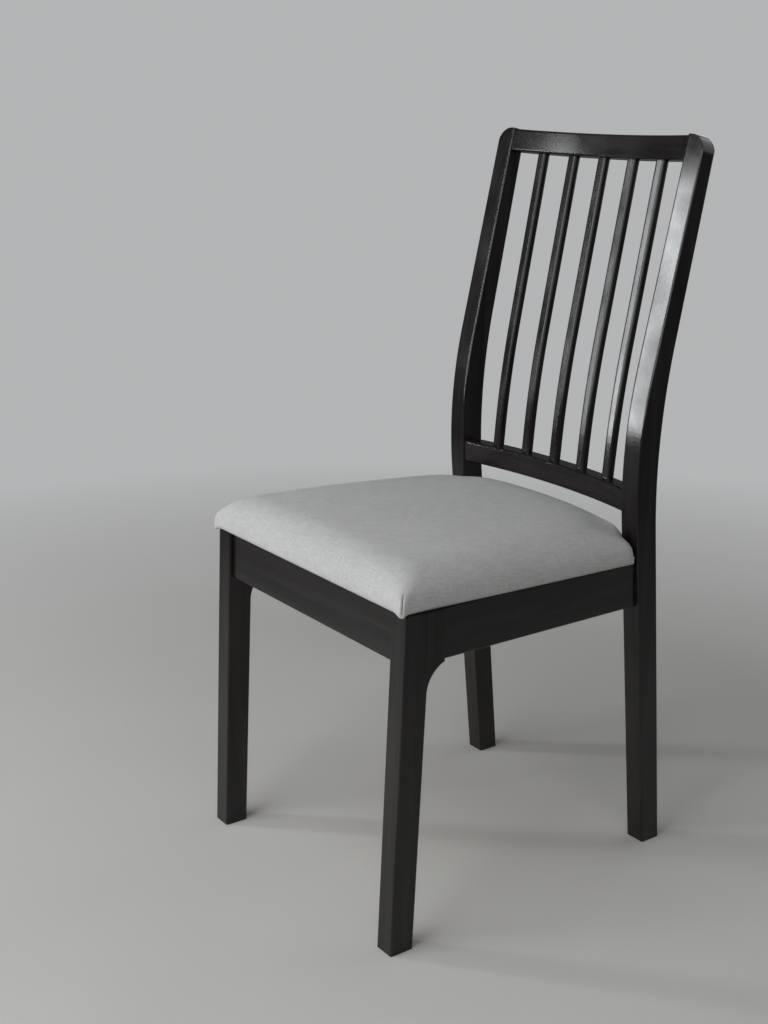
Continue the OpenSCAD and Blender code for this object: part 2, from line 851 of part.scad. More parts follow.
module crest_rail() {
    color(wood)
        difference() {
            bowed_rail(crest_mid, back_lean, crest_setback, crest_t, crest_h);
            slat_mortises();
            both_sides()
                crest_pins(fit, hole_spare);
        }
}

module lower_back_rail() {
    color(wood)
        difference() {
            bowed_rail(lower_mid, lower_lean, lower_setback, lower_rail_t, lower_rail_h);
            slat_mortises();
            both_sides()
                lower_rail_pins(fit, hole_spare);
        }
}

// ---- seat pad ----

module pad_corner(p, top, g) {
    translate([p[0], p[1], 0]) {
        translate([0, 0, g])
            cylinder(r = pad_round - pad_edge, h = pad_edge, $fn = pad_fn);
        translate([0, 0, pad_edge])
            cylinder(r = pad_round - g, h = top - pad_round - pad_edge, $fn = pad_fn);
        translate([0, 0, top - pad_round])
            dome(pad_round - g);
    }
}

module dome(r) {
    intersection() {
        sphere(r = r, $fn = pad_fn);
        translate([-r, -r, 0])
            cube([2 * r, 2 * r, r]);
    }
}

// The crown rises in two steps from the pad's edges to its middle
module pad_crown(margin, top) {
    translate([margin - pad_x_rear, margin - pad_front, top - 1])
        cube([2 * (pad_x_rear - margin), pad_l + pad_front - 2 * margin, 1]);
}

// The pad's outer form, shrunk on every side by g
module pad_body(g) {
    rise = pad_crown_h - pad_rear_h;
    difference() {
        on_seat()
            hull() {
                both_sides() {
                    pad_corner([pad_x_front - pad_round, pad_round - pad_front], pad_front_h, g);
                    pad_corner([pad_x_end - pad_round, pad_l - pad_round], pad_rear_h, g);
                }
                pad_crown(70, pad_crown_h - rise / 6 - g);
                pad_crown(115, pad_crown_h - g);
            }
        both_sides()
            translate([post_in - pad_post_gap - g + overall_w / 2, 0, 0])
                side_view(overall_w)
                    behind_line([seat_rear - (pad_post_gap + g) * behind(-foot_splay),
                        -foot_splay]);
    }
}

module pad_plan(inset) {
    difference() {
        hull()
            both_sides() {
                translate([pad_x_front - pad_round, pad_round - pad_front])
                    circle(pad_round - inset, $fn = pad_fn);
                translate([pad_x_end - pad_round, pad_l - pad_round])
                    circle(pad_round - inset, $fn = pad_fn);
            }
        both_sides()
            translate([post_in - pad_post_gap - inset, seat_l - pad_post_gap - inset - pad_edge])
                square([overall_w, run_on]);
    }
}

module seat_board() {
    color(plywood)
        difference() {
            on_seat()
                translate([0, 0, cover_t])
                    linear_extrude(board_t)
                        pad_plan(board_inset);
            both_sides() {
                at_seat_screw(seat_screw_front)
                    screw_hole(seat_screw_l);
                at_seat_screw(seat_screw_rear)
                    screw_hole(seat_screw_l);
            }
        }
}

module seat_foam() {
    color(foam)
        difference() {
            pad_body(cover_t + foam_gap);
            on_seat()
                translate([-overall_w, -overall_d, cover_t + board_t - run_on])
                    cube([2 * overall_w, 2 * overall_d + run_on, run_on]);
        }
}

module seat_cover() {
    color(cloth)
        difference() {
            pad_body(0);
            pad_body(cover_t);
            on_seat()
                translate([0, 0, -1])
                    linear_extrude(cover_t + 2)
                        hem_opening();
            both_sides() {
                at_seat_screw(seat_screw_front)
                    screw_hole(seat_screw_l);
                at_seat_screw(seat_screw_rear)
                    screw_hole(seat_screw_l);
            }
        }
}

// The part of the board's underside that the hem leaves bare
module hem_opening() {
    rear_y = seat_l - pad_post_gap - hem_w;
    side_y = pad_l - hem_w;
    side_x = post_in - pad_post_gap - hem_w;
    front_y = hem_w - pad_front;
    polygon([
        [-pad_x_front + hem_w, front_y],
        [pad_x_front - hem_w, front_y],
        [pad_x_rear - hem_w, rear_y],
        [side_x, rear_y],
        [side_x, side_y],
        [-side_x, side_y],
        [-side_x, rear_y],
        [-pad_x_rear + hem_w, rear_y]
    ]);
}

// ---- fasteners ----

module rail_dowels() {
    color(beech)
        both_sides() {
            front_rail_pins();
            side_rail_front_pins();
            side_rail_rear_pins();
            rear_rail_pins();
        }
}

module back_dowels() {
    color(beech)
        both_sides() {
            crest_pins();
            lower_rail_pins();
        }
}

module block_screws() {
    color(steel)
        both_sides() {
            at_front_cross_screw()
                screw(front_cross_l);
            at_front_side_screw()
                screw(front_side_l);
            at_rear_cross_screw()
                screw(rear_cross_l);
            at_rear_side_screw()
                screw(rear_side_l);
        }
}

module seat_screws() {
    color(steel)
        both_sides() {
            at_seat_screw(seat_screw_front)
                screw(seat_screw_l);
            at_seat_screw(seat_screw_rear)
                screw(seat_screw_l);
        }
}

module leg_bolts() {
    color(steel)
        both_sides() {
            at_front_bolt()
                bolt(front_bolt_l);
            at_rear_bolt()
                bolt(rear_bolt_l);
        }
}

module bolt_washers() {
    color(steel)
        both_sides() {
            at_front_bolt()
                washer();
            at_rear_bolt()
                washer();
        }
}

module leg_inserts() {
    color(steel)
        both_sides() {
            at_front_bolt()
                insert(front_bolt_l);
            at_rear_bolt()
                insert(rear_bolt_l);
        }
}

on_side(-1) front_leg();  // front_leg_left
front_leg();  // front_leg_right
on_side(-1) rear_post();  // rear_post_left
rear_post();  // rear_post_right
front_rail();
rear_rail();
on_side(-1) side_rail();  // side_rail_left
side_rail();  // side_rail_right
crest_rail();
lower_back_rail();
for (i = [1:slat_count]) slat(i);
on_side(-1) front_block();  // corner_block_front_left
front_block();  // corner_block_front_right
on_side(-1) rear_block();  // corner_block_rear_left
rear_block();  // corner_block_rear_right
seat_board();
seat_foam();
seat_cover();
rail_dowels();
back_dowels();
block_screws();
seat_screws();
leg_bolts();
bolt_washers();
leg_inserts();
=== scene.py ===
"""The looks of a dining chair: stained timbers, an upholstered seat pad and its fittings."""

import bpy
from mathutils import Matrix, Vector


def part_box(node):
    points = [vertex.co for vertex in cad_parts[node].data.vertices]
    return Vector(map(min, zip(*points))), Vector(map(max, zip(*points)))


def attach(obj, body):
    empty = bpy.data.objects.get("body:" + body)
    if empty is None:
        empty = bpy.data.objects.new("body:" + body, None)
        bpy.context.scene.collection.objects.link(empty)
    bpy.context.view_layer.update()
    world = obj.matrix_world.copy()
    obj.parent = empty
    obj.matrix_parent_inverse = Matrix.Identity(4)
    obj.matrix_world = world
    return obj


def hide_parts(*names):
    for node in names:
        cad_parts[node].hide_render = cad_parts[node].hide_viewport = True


bl_info = {
    "name": "Dining chair",
    "version": (1, 0, 0),
    "blender": (4, 5, 0),
    "location": "View3D > Sidebar > Dining chair",
    "description": "Finishes the chair's timbers, upholsters its seat pad and sets its stage",
    "category": "Object",
}

import math

import bmesh
import bpy
import numpy as np
from mathutils import Matrix, Vector

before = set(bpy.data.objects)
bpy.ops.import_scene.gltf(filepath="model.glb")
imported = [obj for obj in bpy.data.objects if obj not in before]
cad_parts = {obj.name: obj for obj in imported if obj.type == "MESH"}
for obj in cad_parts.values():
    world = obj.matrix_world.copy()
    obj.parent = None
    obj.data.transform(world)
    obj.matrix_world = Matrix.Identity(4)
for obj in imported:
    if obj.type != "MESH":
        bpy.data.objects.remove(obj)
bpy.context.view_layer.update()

MM = 0.001
SEAT_SLOPE = math.radians(2.4)  # the seat falls by this towards the back
COVER_T = 1.2 * MM  # cloth under the seat board
BOARD_INSET = 7 * MM  # from the pad's edge to the board's
PAD_FRONT = 12 * MM  # overhang of the pad in front of the legs
LEG_SIDE = 214.5 * MM  # half a millimetre inside the front legs' outer faces
FLOOR_FADE = (0.8, 2.1)  # the floor fades out between these distances from the chair


# ---- shader kit ----


class Wire:
    """A shader socket. Arithmetic on it adds the Math nodes that work it out."""

    def __init__(self, finish, socket):
        self.finish = finish
        self.socket = socket

    def output(self, name):
        """Another output of the same node."""
        return Wire(self.finish, self.socket.node.outputs[name])

    def math(self, operation, *values):
        return self.finish.add("ShaderNodeMath", {"operation": operation}, dict(enumerate(values)))

    def __add__(self, other):
        return self.math("ADD", self, other)

    def __radd__(self, other):
        return self.math("ADD", other, self)

    def __sub__(self, other):
        return self.math("SUBTRACT", self, other)

    def __rsub__(self, other):
        return self.math("SUBTRACT", other, self)

    def __mul__(self, other):
        return self.math("MULTIPLY", self, other)

    def __rmul__(self, other):
        return self.math("MULTIPLY", other, self)

    def __pow__(self, other):
        return self.math("POWER", self, other)

    def __abs__(self):
        return self.math("ABSOLUTE", self)

    def wave(self, length):
        """A sine wave of that length, from -1 to 1."""
        return self.math("SINE", self * (2 * math.pi / length))


class Finish:
    """A material in the making."""

    def __init__(self, name):
        self.material = bpy.data.materials.new(name)
        self.material.use_nodes = True
        self.tree = self.material.node_tree
        self.tree.nodes.clear()

    def add(self, kind, settings=None, sockets=None, output=0):
        """A node of that kind: its settings first, then the values or links of its sockets."""
        node = self.tree.nodes.new(kind)
        for key, value in (settings or {}).items():
            setattr(node, key, value)
        for key, value in (sockets or {}).items():
            if isinstance(value, Wire):
                self.tree.links.new(value.socket, node.inputs[key])
            else:
                node.inputs[key].default_value = value
        return Wire(self, node.outputs[output]) if len(node.outputs) else None

    def place(self):
        """The point on the piece, in metres."""
        return self.add("ShaderNodeTexCoord").output("Object")

    def scaled(self, vector, by):
        return self.add("ShaderNodeVectorMath", {"operation": "MULTIPLY"}, {0: vector, 1: by})

    def drawn_out(self, vector, grain, by):
        """The point drawn out along axis 0, 1 or 2, so that noise on it makes streaks of grain."""
        squeeze = [1.0, 1.0, 1.0]
        squeeze[grain] = by
        return self.scaled(vector, squeeze)

    def noise(self, vector, scale, detail=2.0, rough=0.5, distortion=0.0):
        sockets = {"Vector": vector, "Scale": scale, "Detail": detail}
        sockets.update({"Roughness": rough, "Distortion": distortion})
        return self.add("ShaderNodeTexNoise", {}, sockets)

    def spread(self, value, low, high, to_low=0.0, to_high=1.0):
        """Value taken from low..high to to_low..to_high, and held there."""
        sockets = {0: value, 1: low, 2: high, 3: to_low, 4: to_high}
        return self.add("ShaderNodeMapRange", {}, sockets)

    def blend(self, factor, first, second):
        """A colour between two colours."""
        return self.add(
            "ShaderNodeMix", {"data_type": "RGBA"}, {0: factor, 6: first, 7: second}, output=2
        )

    def rounded(self, radius):
        """The surface's normal, softened across edges within the radius."""
        return self.add("ShaderNodeBevel", {"samples": 4}, {"Radius": radius})

    def edge(self, softened):
        """0 on a flat face, rising towards the piece's edges."""
        flat = self.add("ShaderNodeNewGeometry").output("Normal")
        sockets = {0: softened, 1: flat}
        same = self.add("ShaderNodeVectorMath", {"operation": "DOT_PRODUCT"}, sockets)
        return 1.0 - same.output("Value")

    def bump(self, height, distance, strength=1.0, normal=None):
        sockets = {"Height": height, "Distance": distance, "Strength": strength}
        if normal is not None:
            sockets["Normal"] = normal
        return self.add("ShaderNodeBump", {}, sockets)

    def surface(self, sockets):
        """Closes the material with its shader and returns it."""
        shader = self.add("ShaderNodeBsdfPrincipled", {}, sockets)
        self.add("ShaderNodeOutputMaterial", {}, {"Surface": shader})
        return self.material


def shade(colour, by=1.0):
    """A colour as four numbers, lightened or darkened."""
    return (colour[0] * by, colour[1] * by, colour[2] * by, 1.0)


# ---- finishes ----


def stained_wood(name, grain, look):
    """Hardwood stained nearly black under satin lacquer. Its grain runs along axis 0, 1 or 2."""
    f = Finish(name)
    place = f.place()
    run = f.drawn_out(place, grain, 0.035)
    bands = f.noise(run, 90.0, 3.0, 0.55, 0.4)
    pores = f.noise(run, 700.0, 2.0, 0.6)
    cloud = f.noise(place, 14.0, 2.0)
    softened = f.rounded(1.4 * MM)
    worn = f.spread(f.edge(softened), 0.01, 0.16) * f.spread(f.noise(place, 60.0, 3.0), 0.4, 0.7)
    tone = bands * 0.62 + pores * 0.28 + cloud * 0.1
    dark, light = shade(look.stain, 0.45), shade(look.stain, 2.1)
    figure = f.blend(f.spread(tone, 0.38, 0.64), dark, light)
    colour = f.blend(worn * look.wear, figure, shade(look.stain, 3.4))
    peel = f.noise(place, 230.0, 1.0)
    height = pores * 0.5 + bands * 0.3 + peel * 0.35
    return f.surface(
        {
            "Base Color": colour,
            "Roughness": look.sheen + 0.22 * (cloud - 0.5) - 0.08 * (pores - 0.5) + 0.06 * worn,
            "IOR": 1.47,
            "Specular IOR Level": 0.43,
            "Normal": f.bump(height, 0.02 * MM, 0.7, softened),
        }
    )


def bare_wood(name, grain, colour):
    """Planed beech without a finish: pale, with short dark flecks along its grain."""
    f = Finish(name)
    place = f.place()
    run = f.drawn_out(place, grain, 0.05)
    bands = f.noise(run, 120.0, 3.0, 0.6, 0.5)
    flecks = f.spread(f.noise(run, 900.0, 1.0), 0.62, 0.7)
    softened = f.rounded(0.8 * MM)
    grime = f.spread(f.edge(softened), 0.02, 0.25)
    tone = f.blend(f.spread(bands, 0.3, 0.7), shade(colour, 0.78), shade(colour, 1.12))
    tone = f.blend(flecks * 0.55, tone, shade(colour, 0.42))
    tone = f.blend(grime * 0.35, tone, shade(colour, 0.5))
    return f.surface(
        {
            "Base Color": tone,
            "Roughness": f.spread(bands, 0.2, 0.8, 0.62, 0.78),
            "Normal": f.bump(bands + flecks * -0.6, 0.12 * MM, 0.8, softened),
        }
    )


def veneered_board(name, colour):
    """Birch plywood: veneer on its faces and the plies in bands along its edges."""
    f = Finish(name)
    place = f.place()
    split = f.add("ShaderNodeSeparateXYZ", {}, {0: place})
    up = split.output("Y") * math.sin(SEAT_SLOPE) + split.output("Z") * math.cos(SEAT_SLOPE)
    plies = up.wave(2.6 * MM)
    run = f.scaled(place, (0.05, 1.0, 1.0))
    bands = f.noise(run, 55.0, 4.0, 0.55, 1.2)
    pores = f.noise(run, 600.0, 2.0)
    facing = f.add("ShaderNodeNewGeometry").output("Normal")
    upright = abs(f.add("ShaderNodeSeparateXYZ", {}, {0: facing}).output("Z"))
    figure = f.spread(bands * 0.7 + pores * 0.3, 0.3, 0.7)
    face = f.blend(figure, shade(colour, 0.72), shade(colour, 1.1))
    side = f.blend(f.spread(plies, -0.4, 0.4), shade(colour, 0.45), shade(colour, 1.0))
    return f.surface(
        {
            "Base Color": f.blend(upright, side, face),
            "Roughness": f.spread(pores, 0.3, 0.7, 0.58, 0.74),
            "Normal": f.bump(bands * 0.6 + pores * 0.4, 0.1 * MM, 0.7),
        }
    )


def zinc_steel(name, colour):
    """Bright zinc plating over turned steel, with fine marks from the tool."""
    f = Finish(name)
    place = f.place()
    marks = f.noise(f.scaled(place, (1.0, 1.0, 0.2)), 1500.0, 2.0, 0.6)
    cloud = f.noise(place, 180.0, 3.0)
    softened = f.rounded(0.4 * MM)
    dull = f.blend(f.spread(cloud, 0.35, 0.7), shade(colour, 0.72), shade(colour, 1.05))
    return f.surface(
        {
            "Base Color": dull,
            "Metallic": 1.0,
            "Roughness": 0.26 + 0.2 * cloud + 0.12 * marks,
            "Normal": f.bump(marks, 0.03 * MM, 0.8, softened),
        }
    )


def woven_cloth(name, look):
    """A melange plain weave, with painted shade in the dips between its threads. Its threads run
    as the piece's weave attribute lays them.
    """
    f = Finish(name)
    cloth = f.add("ShaderNodeAttribute", {"attribute_name": "weave"}).output("Vector")
    split = f.add("ShaderNodeSeparateXYZ", {}, {0: cloth})
    across, along = split.output("X"), split.output("Y")
    pitch = look.thread * 2.0
    over = across.wave(pitch) * along.wave(pitch)
    slub = 45.0  # how often a thread's shade changes, in each metre of it
    warp = f.noise(f.scaled(cloth, (1.0 / look.thread, slub, 0.0)), 1.0, 2.0, 0.65)
    weft = f.noise(f.scaled(cloth, (slub, 1.0 / look.thread, 7.0)), 1.0, 2.0, 0.65)
    tuft = f.noise(f.scaled(cloth, (1.0, 1.0, 0.0)), 1400.0, 2.0, 0.7)
    cloud = f.noise(f.place(), 11.0, 2.0)
    top = f.spread(over, -0.25, 0.25)
    thread = top * warp + (1.0 - top) * weft
    tone = thread * 0.72 + tuft * 0.2 + cloud * 0.08
    dark, light = shade(look.cloth, 0.62), shade(look.cloth, 1.34)
    colour = f.blend(f.spread(tone, 0.34, 0.66), dark, light)
    # painted shade: the colour falls to the dark yarn tone in the dips between threads, where the
    # weave's height is lowest
    gap = f.spread(abs(over), 0.0, 0.25)
    colour = f.blend(gap, dark, colour)
    height = abs(over) ** 0.5 * 0.8 + thread * 0.5 + tuft * 0.35
    return f.surface(
        {
            "Base Color": colour,
            "Roughness": f.spread(tone, 0.2, 0.8, 0.78, 0.92),
            "Specular IOR Level": 0.25,
            "Sheen Weight": 0.12,
            "Sheen Roughness": 0.45,
            "Normal": f.bump(height, 0.16 * MM, 0.75),
        }
    )


def sewing_thread(name, colour):
    """Twisted polyester thread."""
    f = Finish(name)
    place = f.place()
    split = f.add("ShaderNodeSeparateXYZ", {}, {0: place})
    twist = (split.output("X") + split.output("Z")).wave(0.6 * MM)
    fuzz = f.noise(place, 2600.0, 2.0)
    tone = f.blend(f.spread(twist * 0.3 + fuzz, 0.2, 0.8), shade(colour, 0.6), shade(colour, 1.15))
    return f.surface(
        {
            "Base Color": tone,
            "Roughness": f.spread(fuzz, 0.2, 0.8, 0.55, 0.75),
            "Normal": f.bump(twist + fuzz, 0.05 * MM, 0.8),
        }
    )


def plain_ground(name, colour):
    """The stage's floor: matt, faintly mottled, and fading out away from the chair."""
    f = Finish(name)
    place = f.place()
    cloud = f.noise(place, 3.0, 3.0)
    tone = f.blend(f.spread(cloud, 0.3, 0.7), shade(colour, 0.985), shade(colour, 1.015))
    away = f.add("ShaderNodeVectorMath", {"operation": "LENGTH"}, {0: place}, "Value")
    rough = f.spread(cloud, 0.3, 0.7, 0.62, 0.7)
    fade = 1.0 - f.spread(away, *FLOOR_FADE)
    return f.surface({"Base Color": tone, "Roughness": rough, "Alpha": fade})


def dress(material, *nodes):
    """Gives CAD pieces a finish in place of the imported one."""
    for name in nodes:
        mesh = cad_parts[name].data
        if not mesh.materials:
            mesh.materials.append(material)
        for i in range(len(mesh.materials)):
            mesh.materials[i] = material


def named(start):
    """The CAD pieces whose names start like that."""
    return sorted(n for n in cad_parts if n.startswith(start))


# ---- seat pad ----

ACROSS, ALONG = 92, 84  # faces of the pad's top, side to side and front to back
ROLL_STEPS = 11  # rows of the edge's roll, from the top down to the pad's widest height
SIDE_RUN = 342 * MM  # from the legs' front to where the sides have fallen by the edge fall
POST_LEAN = math.radians(8.2)  # lean of the posts' front faces beside the pad
SOFT_CUT, HEM_CUT = 6 * MM, 12 * MM  # how softly the back edge steps in at a post

STITCH, SEAM_STEP = 0.22 * MM, 2.6 * MM  # radius of a stitch, and from one to the next
# the dark line along a seam is painted shade in the seam's groove
SEAM_SHADE_LINE = 0.5 * MM  # radius of the dark line along a seam
STAPLE_WIRE = 0.7 * MM
STAPLE = ((-5, 1.1), (-5, 0.5), (-4.6, 0.2), (4.6, 0.2), (5, 0.5), (5, 1.1))  # along, height in mm

# radius in mm of the pad's corners, as the roll goes from its widest height to the top
FRONT_TURN = ([0, 0.25, 0.45, 0.65, 0.85, 1], [6, 9, 17, 24, 31, 36])
REAR_TURN = ([0, 0.4, 0.65, 0.85, 1], [22, 22, 24, 28, 32])

# rows under the roll, in mm: inset from the pad's edge, height, radius of the rear corners
TUCK_ROWS = ((0.4, 11.4, 22), (1.2, 8.4, 20), (2.4, 5.8, 16))
HELD_ROWS = ((3.7, 3.9, 11), (5.0, 2.4, 7), (6.2, 1.2, 4), (8.0, 0.4, 3))
CLOTH_FRAMES = 20


def seat_origin():
    """Where the seat's own frame starts: at the legs' front, on the rails' tops."""
    c, s = math.cos(SEAT_SLOPE), math.sin(SEAT_SLOPE)
    points = [v.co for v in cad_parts["seat_board"].data.vertices]
    front = min(p.y * c - p.z * s for p in points) + PAD_FRONT - BOARD_INSET
    floor = min(p.y * s + p.z * c for p in points) - COVER_T
    return front, floor


def from_seat(points):
    """Points of the seat's own frame, in the chair's."""
    front, floor = seat_origin()
    c, s = math.cos(SEAT_SLOPE), math.sin(SEAT_SLOPE)
    y, z = points[:, 1] + front, points[:, 2] + floor
    return np.stack([points[:, 0], y * c + z * s, z * c - y * s], axis=1)


def crowded(count):
    """Steps from -1 to 1 that crowd towards both ends."""
    t = np.linspace(-1, 1, count + 1)
    return 0.6 * t + 0.4 * np.sin(np.pi * t / 2)


def swell(t):
    t = np.clip(t, 0, 1)
    return t * t * (3 - 2 * t)


class PadForm:
    """The pad's rings, from the start of the edge's roll down and in under the seat board."""

    def __init__(self, pad):
        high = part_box("seat_cover")[1]
        self.front = -PAD_FRONT
        self.half_front = high.x
        self.taper = (high.x - pad.rear_half) / (pad.notch + PAD_FRONT)
        self.notch = pad.notch
        self.back = pad.back
        self.post_in = pad.post_in
        self.pad = pad
        self.tx = crowded(ACROSS)
        self.ty = (crowded(ALONG) + 1) / 2

    def half(self, y):
        return self.half_front - self.taper * (y - self.front)

    def back_line(self, x, soft):
        reach = swell((self.post_in + soft / 2 - np.abs(x)) / soft)
        return self.notch + (self.back - self.notch) * reach

    def ring(self, front, side, back, z, turn, rear_turn, soft=SOFT_CUT):
        """One loop of columns, front left corner first, at its insets from the pad's edges."""
        y0 = self.front + front
        notch = self.notch - back
        x_front = self.tx * (self.half(y0) - side)
        edge_y = y0 + self.ty * (notch - y0)
        edge_x = self.half(edge_y) - side
        x_back = self.tx * (self.half(notch) - side)
        y_back = self.back_line(x_back, soft) - back
        loop = np.concatenate(
            [
                np.stack([x_front, np.full(ACROSS + 1, y0)], axis=1),
                np.stack([edge_x[1:], edge_y[1:]], axis=1),
                np.stack([x_back[::-1][1:], y_back[::-1][1:]], axis=1),
                np.stack([-edge_x[::-1][1:-1], edge_y[::-1][1:-1]], axis=1),
            ]
        )
        loop = self.turned(loop, turn, rear_turn)
        return np.column_stack([loop, np.broadcast_to(z, len(loop))])

    def turned(self, loop, turn, rear_turn):
        """The loop with its four corners rounded."""
        off, most = 6, 40  # columns to the one that gives a side's direction, and that may turn
        count = len(loop)
        out = loop.copy()
        corners = [(0, turn), (ACROSS, turn), (ACROSS + ALONG, rear_turn)]
        corners.append((2 * ACROSS + ALONG, rear_turn))
        for at, radius in corners:
            tip = loop[at]
            ways = []
            for step in (-1, 1):
                far = loop[(at + step * off) % count] - tip
                ways.append(far / np.linalg.norm(far))
            for step, (own, other) in ((-1, (0, 1)), (1, (1, 0))):
                for k in range(most):
                    i = (at + step * k) % count
                    s = np.linalg.norm(loop[i] - tip)
                    if s >= radius:
                        break
                    a = math.pi / 4 * (1 - s / radius)
                    u, v = radius * (1 - math.sin(a)), radius * (1 - math.cos(a))
                    out[i] = tip + ways[own] * u + ways[other] * v
        return out

    def crown(self, x, y):
        """Height of the pad's top above the rails."""
        p = self.pad
        run = np.clip(y / SIDE_RUN, 0, 1.2)
        edge = p.edge_h - p.edge_fall * run**1.2
        ahead = self.front + p.roll_front
        behind = self.back - p.roll_back
        middle = (ahead + behind) / 2
        side = np.abs(x) / (self.half(y) - p.roll_side)
        reach = (y - middle) / (behind - middle)
        fall = np.where(reach > 0, 0.3 * np.abs(reach) ** 4, np.abs(reach) ** 2.6)
        dome = 1 - side**2.4 - fall
        eased = dome / (1 - 3.2 * dome)  # past the roll's start the fall levels out
        return edge + (p.crown_h - edge) * np.where(dome > 0, dome, eased)

    def rings(self):
        """The loops, and from which of them on they are held while the cloth is blown up."""
        p = self.pad
        loops = []
        for k in range(ROLL_STEPS + 1):
            turn = math.pi / 2 * k / ROLL_STEPS
            out, drop = 1 - math.sin(turn), math.cos(turn)
            soft = SOFT_CUT + 40 * MM * out
            front_r, rear_r = np.interp(drop, *FRONT_TURN), np.interp(drop, *REAR_TURN)
            insets = (p.roll_front * out, p.roll_side * out, p.roll_back * out)
            loop = self.ring(*insets, 0, front_r * MM, rear_r * MM, soft)
            top = self.crown(loop[:, 0], loop[:, 1])
            loop[:, 2] = p.waist_h + (top - p.waist_h) * drop
            loops.append(loop)
        for inset, z, rear_r in TUCK_ROWS:
            loops.append(self.ring(*[inset * MM] * 3, z * MM, 5 * MM, rear_r * MM))
        held = len(loops)
        for inset, z, rear_r in HELD_ROWS:
            loops.append(self.ring(*[inset * MM] * 3, z * MM, 4 * MM, rear_r * MM))
        for inset in np.arange(14, 1000 * p.hem, 6.5):
            loops.append(self.ring(*[inset * MM] * 3, 0.2 * MM, 2 * MM, 2 * MM, HEM_CUT))
        loops.append(self.ring(*[p.hem] * 3, 0.25 * MM, 2 * MM, 2 * MM, HEM_CUT))
        lean = math.tan(POST_LEAN)
        for loop in loops:
            behind = np.abs(loop[:, 0]) > self.post_in + 1.5 * MM
            limit = self.notch - loop[:, 2] * lean
            loop[:, 1] = np.where(behind, np.minimum(loop[:, 1], limit), loop[:, 1])
        return loops, held


def coons(loop):
    """A grid that fills a loop: a patch between its four sides."""
    a, b = ACROSS, ALONG
    front = loop[: a + 1]
    right = loop[a : a + b + 1]
    back = loop[a + b : 2 * a + b + 1][::-1]
    left = np.concatenate([loop[2 * a + b :], loop[:1]])[::-1]
    u = ((crowded(a) + 1) / 2)[:, None, None]
    v = ((crowded(b) + 1) / 2)[None, :, None]
    sides = (1 - v) * front[:, None] + v * back[:, None] + (1 - u) * left[None] + u * right[None]
    tips = (1 - u) * (1 - v) * front[0] + u * (1 - v) * front[-1]
    tips = tips + (1 - u) * v * back[0] + u * v * back[-1]
    return sides - tips


class PadMesh:
    """The pad's points and faces: a grid for the top, and rings that hang from its edge."""

    def __init__(self, form):
        self.form = form
        self.loops, self.held = form.rings()
        a, b = ACROSS, ALONG
        self.grid = coons(self.loops[0])
        self.grid[:, :, 2] = form.crown(self.grid[:, :, 0], self.grid[:, :, 1])
        index = np.arange((a + 1) * (b + 1)).reshape(a + 1, b + 1)
        back, left = index[::-1, -1][1:], index[0, ::-1][1:-1]
        rim = np.concatenate([index[:, 0], index[-1, 1:], back, left])
        points = [self.grid.reshape(-1, 3)]
        rows = [rim]
        count = len(rim)
        base = index.size
        for loop in self.loops[1:]:
            points.append(loop)
            rows.append(base + np.arange(count))
            base += count
        self.index, self.rows = index, rows
        self.points = np.concatenate(points)
        self.faces, self.lay = [], []
        self.cover_top()
        self.cover_sides()

    def cover_top(self):
        index = self.index
        for i in range(ACROSS):
            for j in range(ALONG):
                face = (index[i, j], index[i + 1, j], index[i + 1, j + 1], index[i, j + 1])
                self.faces.append(face)
                self.lay.append([tuple(self.points[k][:2]) for k in face])

    def cover_sides(self):
        """Faces between the rings. Each side's threads run on from the top's."""
        count = len(self.rows[0])
        length = np.zeros((len(self.rows), count))
        for k in range(1, len(self.rows)):
            step = self.points[self.rows[k]] - self.points[self.rows[k - 1]]
            length[k] = length[k - 1] + np.linalg.norm(step, axis=1)
        start = self.points[self.rows[0]]
        bounds = [0, ACROSS, ACROSS + ALONG, 2 * ACROSS + ALONG, count]
        for k in range(1, len(self.rows)):
            for side in range(4):
                for c in range(bounds[side], bounds[side + 1]):
                    d = (c + 1) % count
                    face = [(k - 1, c), (k, c), (k, d), (k - 1, d)]
                    self.faces.append(tuple(int(self.rows[r][q]) for r, q in face))
                    lay = []
                    for r, q in face:
                        here = self.points[self.rows[r][q]]
                        run = length[r][q]
                        if side % 2 == 0:
                            back = start[q][1] + (run if side == 2 else -run)
                            lay.append((here[0], back))
                        else:
                            lay.append((start[q][0] + (run if side == 1 else -run), here[1]))
                    self.lay.append(lay)

    def line_cavity(self):
        """Turns the hem's edge up and lines the space that the seat board fills."""
        form = self.form
        count = len(self.rows[0])
        inner = []
        # inset, and height in mm: the hem's edge, its upper side, and the space's two edges
        turned_in = [(form.pad.hem, 1.05), (30 * MM, 1.08), (6.5 * MM, 1.08), (6.5 * MM, 10.5)]
        for inset, z in turned_in:
            loop = form.ring(inset, inset, inset, z * MM, 2 * MM, 2 * MM)
            self.rows.append(len(self.points) + np.arange(count))
            self.points = np.concatenate([self.points, loop])
            inner.append(self.rows[-1])
            last, here = self.rows[-2], self.rows[-1]
            for c in range(count):
                d = (c + 1) % count
                face = (last[c], here[c], here[d], last[d])
                self.faces.append(tuple(int(i) for i in face))
                self.lay.append([tuple(self.points[i][:2]) for i in face])
        cap = tuple(int(i) for i in inner[-1])
        self.faces.append(cap)
        self.lay.append([tuple(self.points[i][:2]) for i in cap])
        return [list(row) for row in inner]


def mesh_object(name, points, faces):
    mesh = bpy.data.meshes.new(name)
    mesh.from_pydata([tuple(p) for p in points], [], faces)
    mesh.update()
    obj = bpy.data.objects.new(name, mesh)
    bpy.context.scene.collection.objects.link(obj)
    return obj


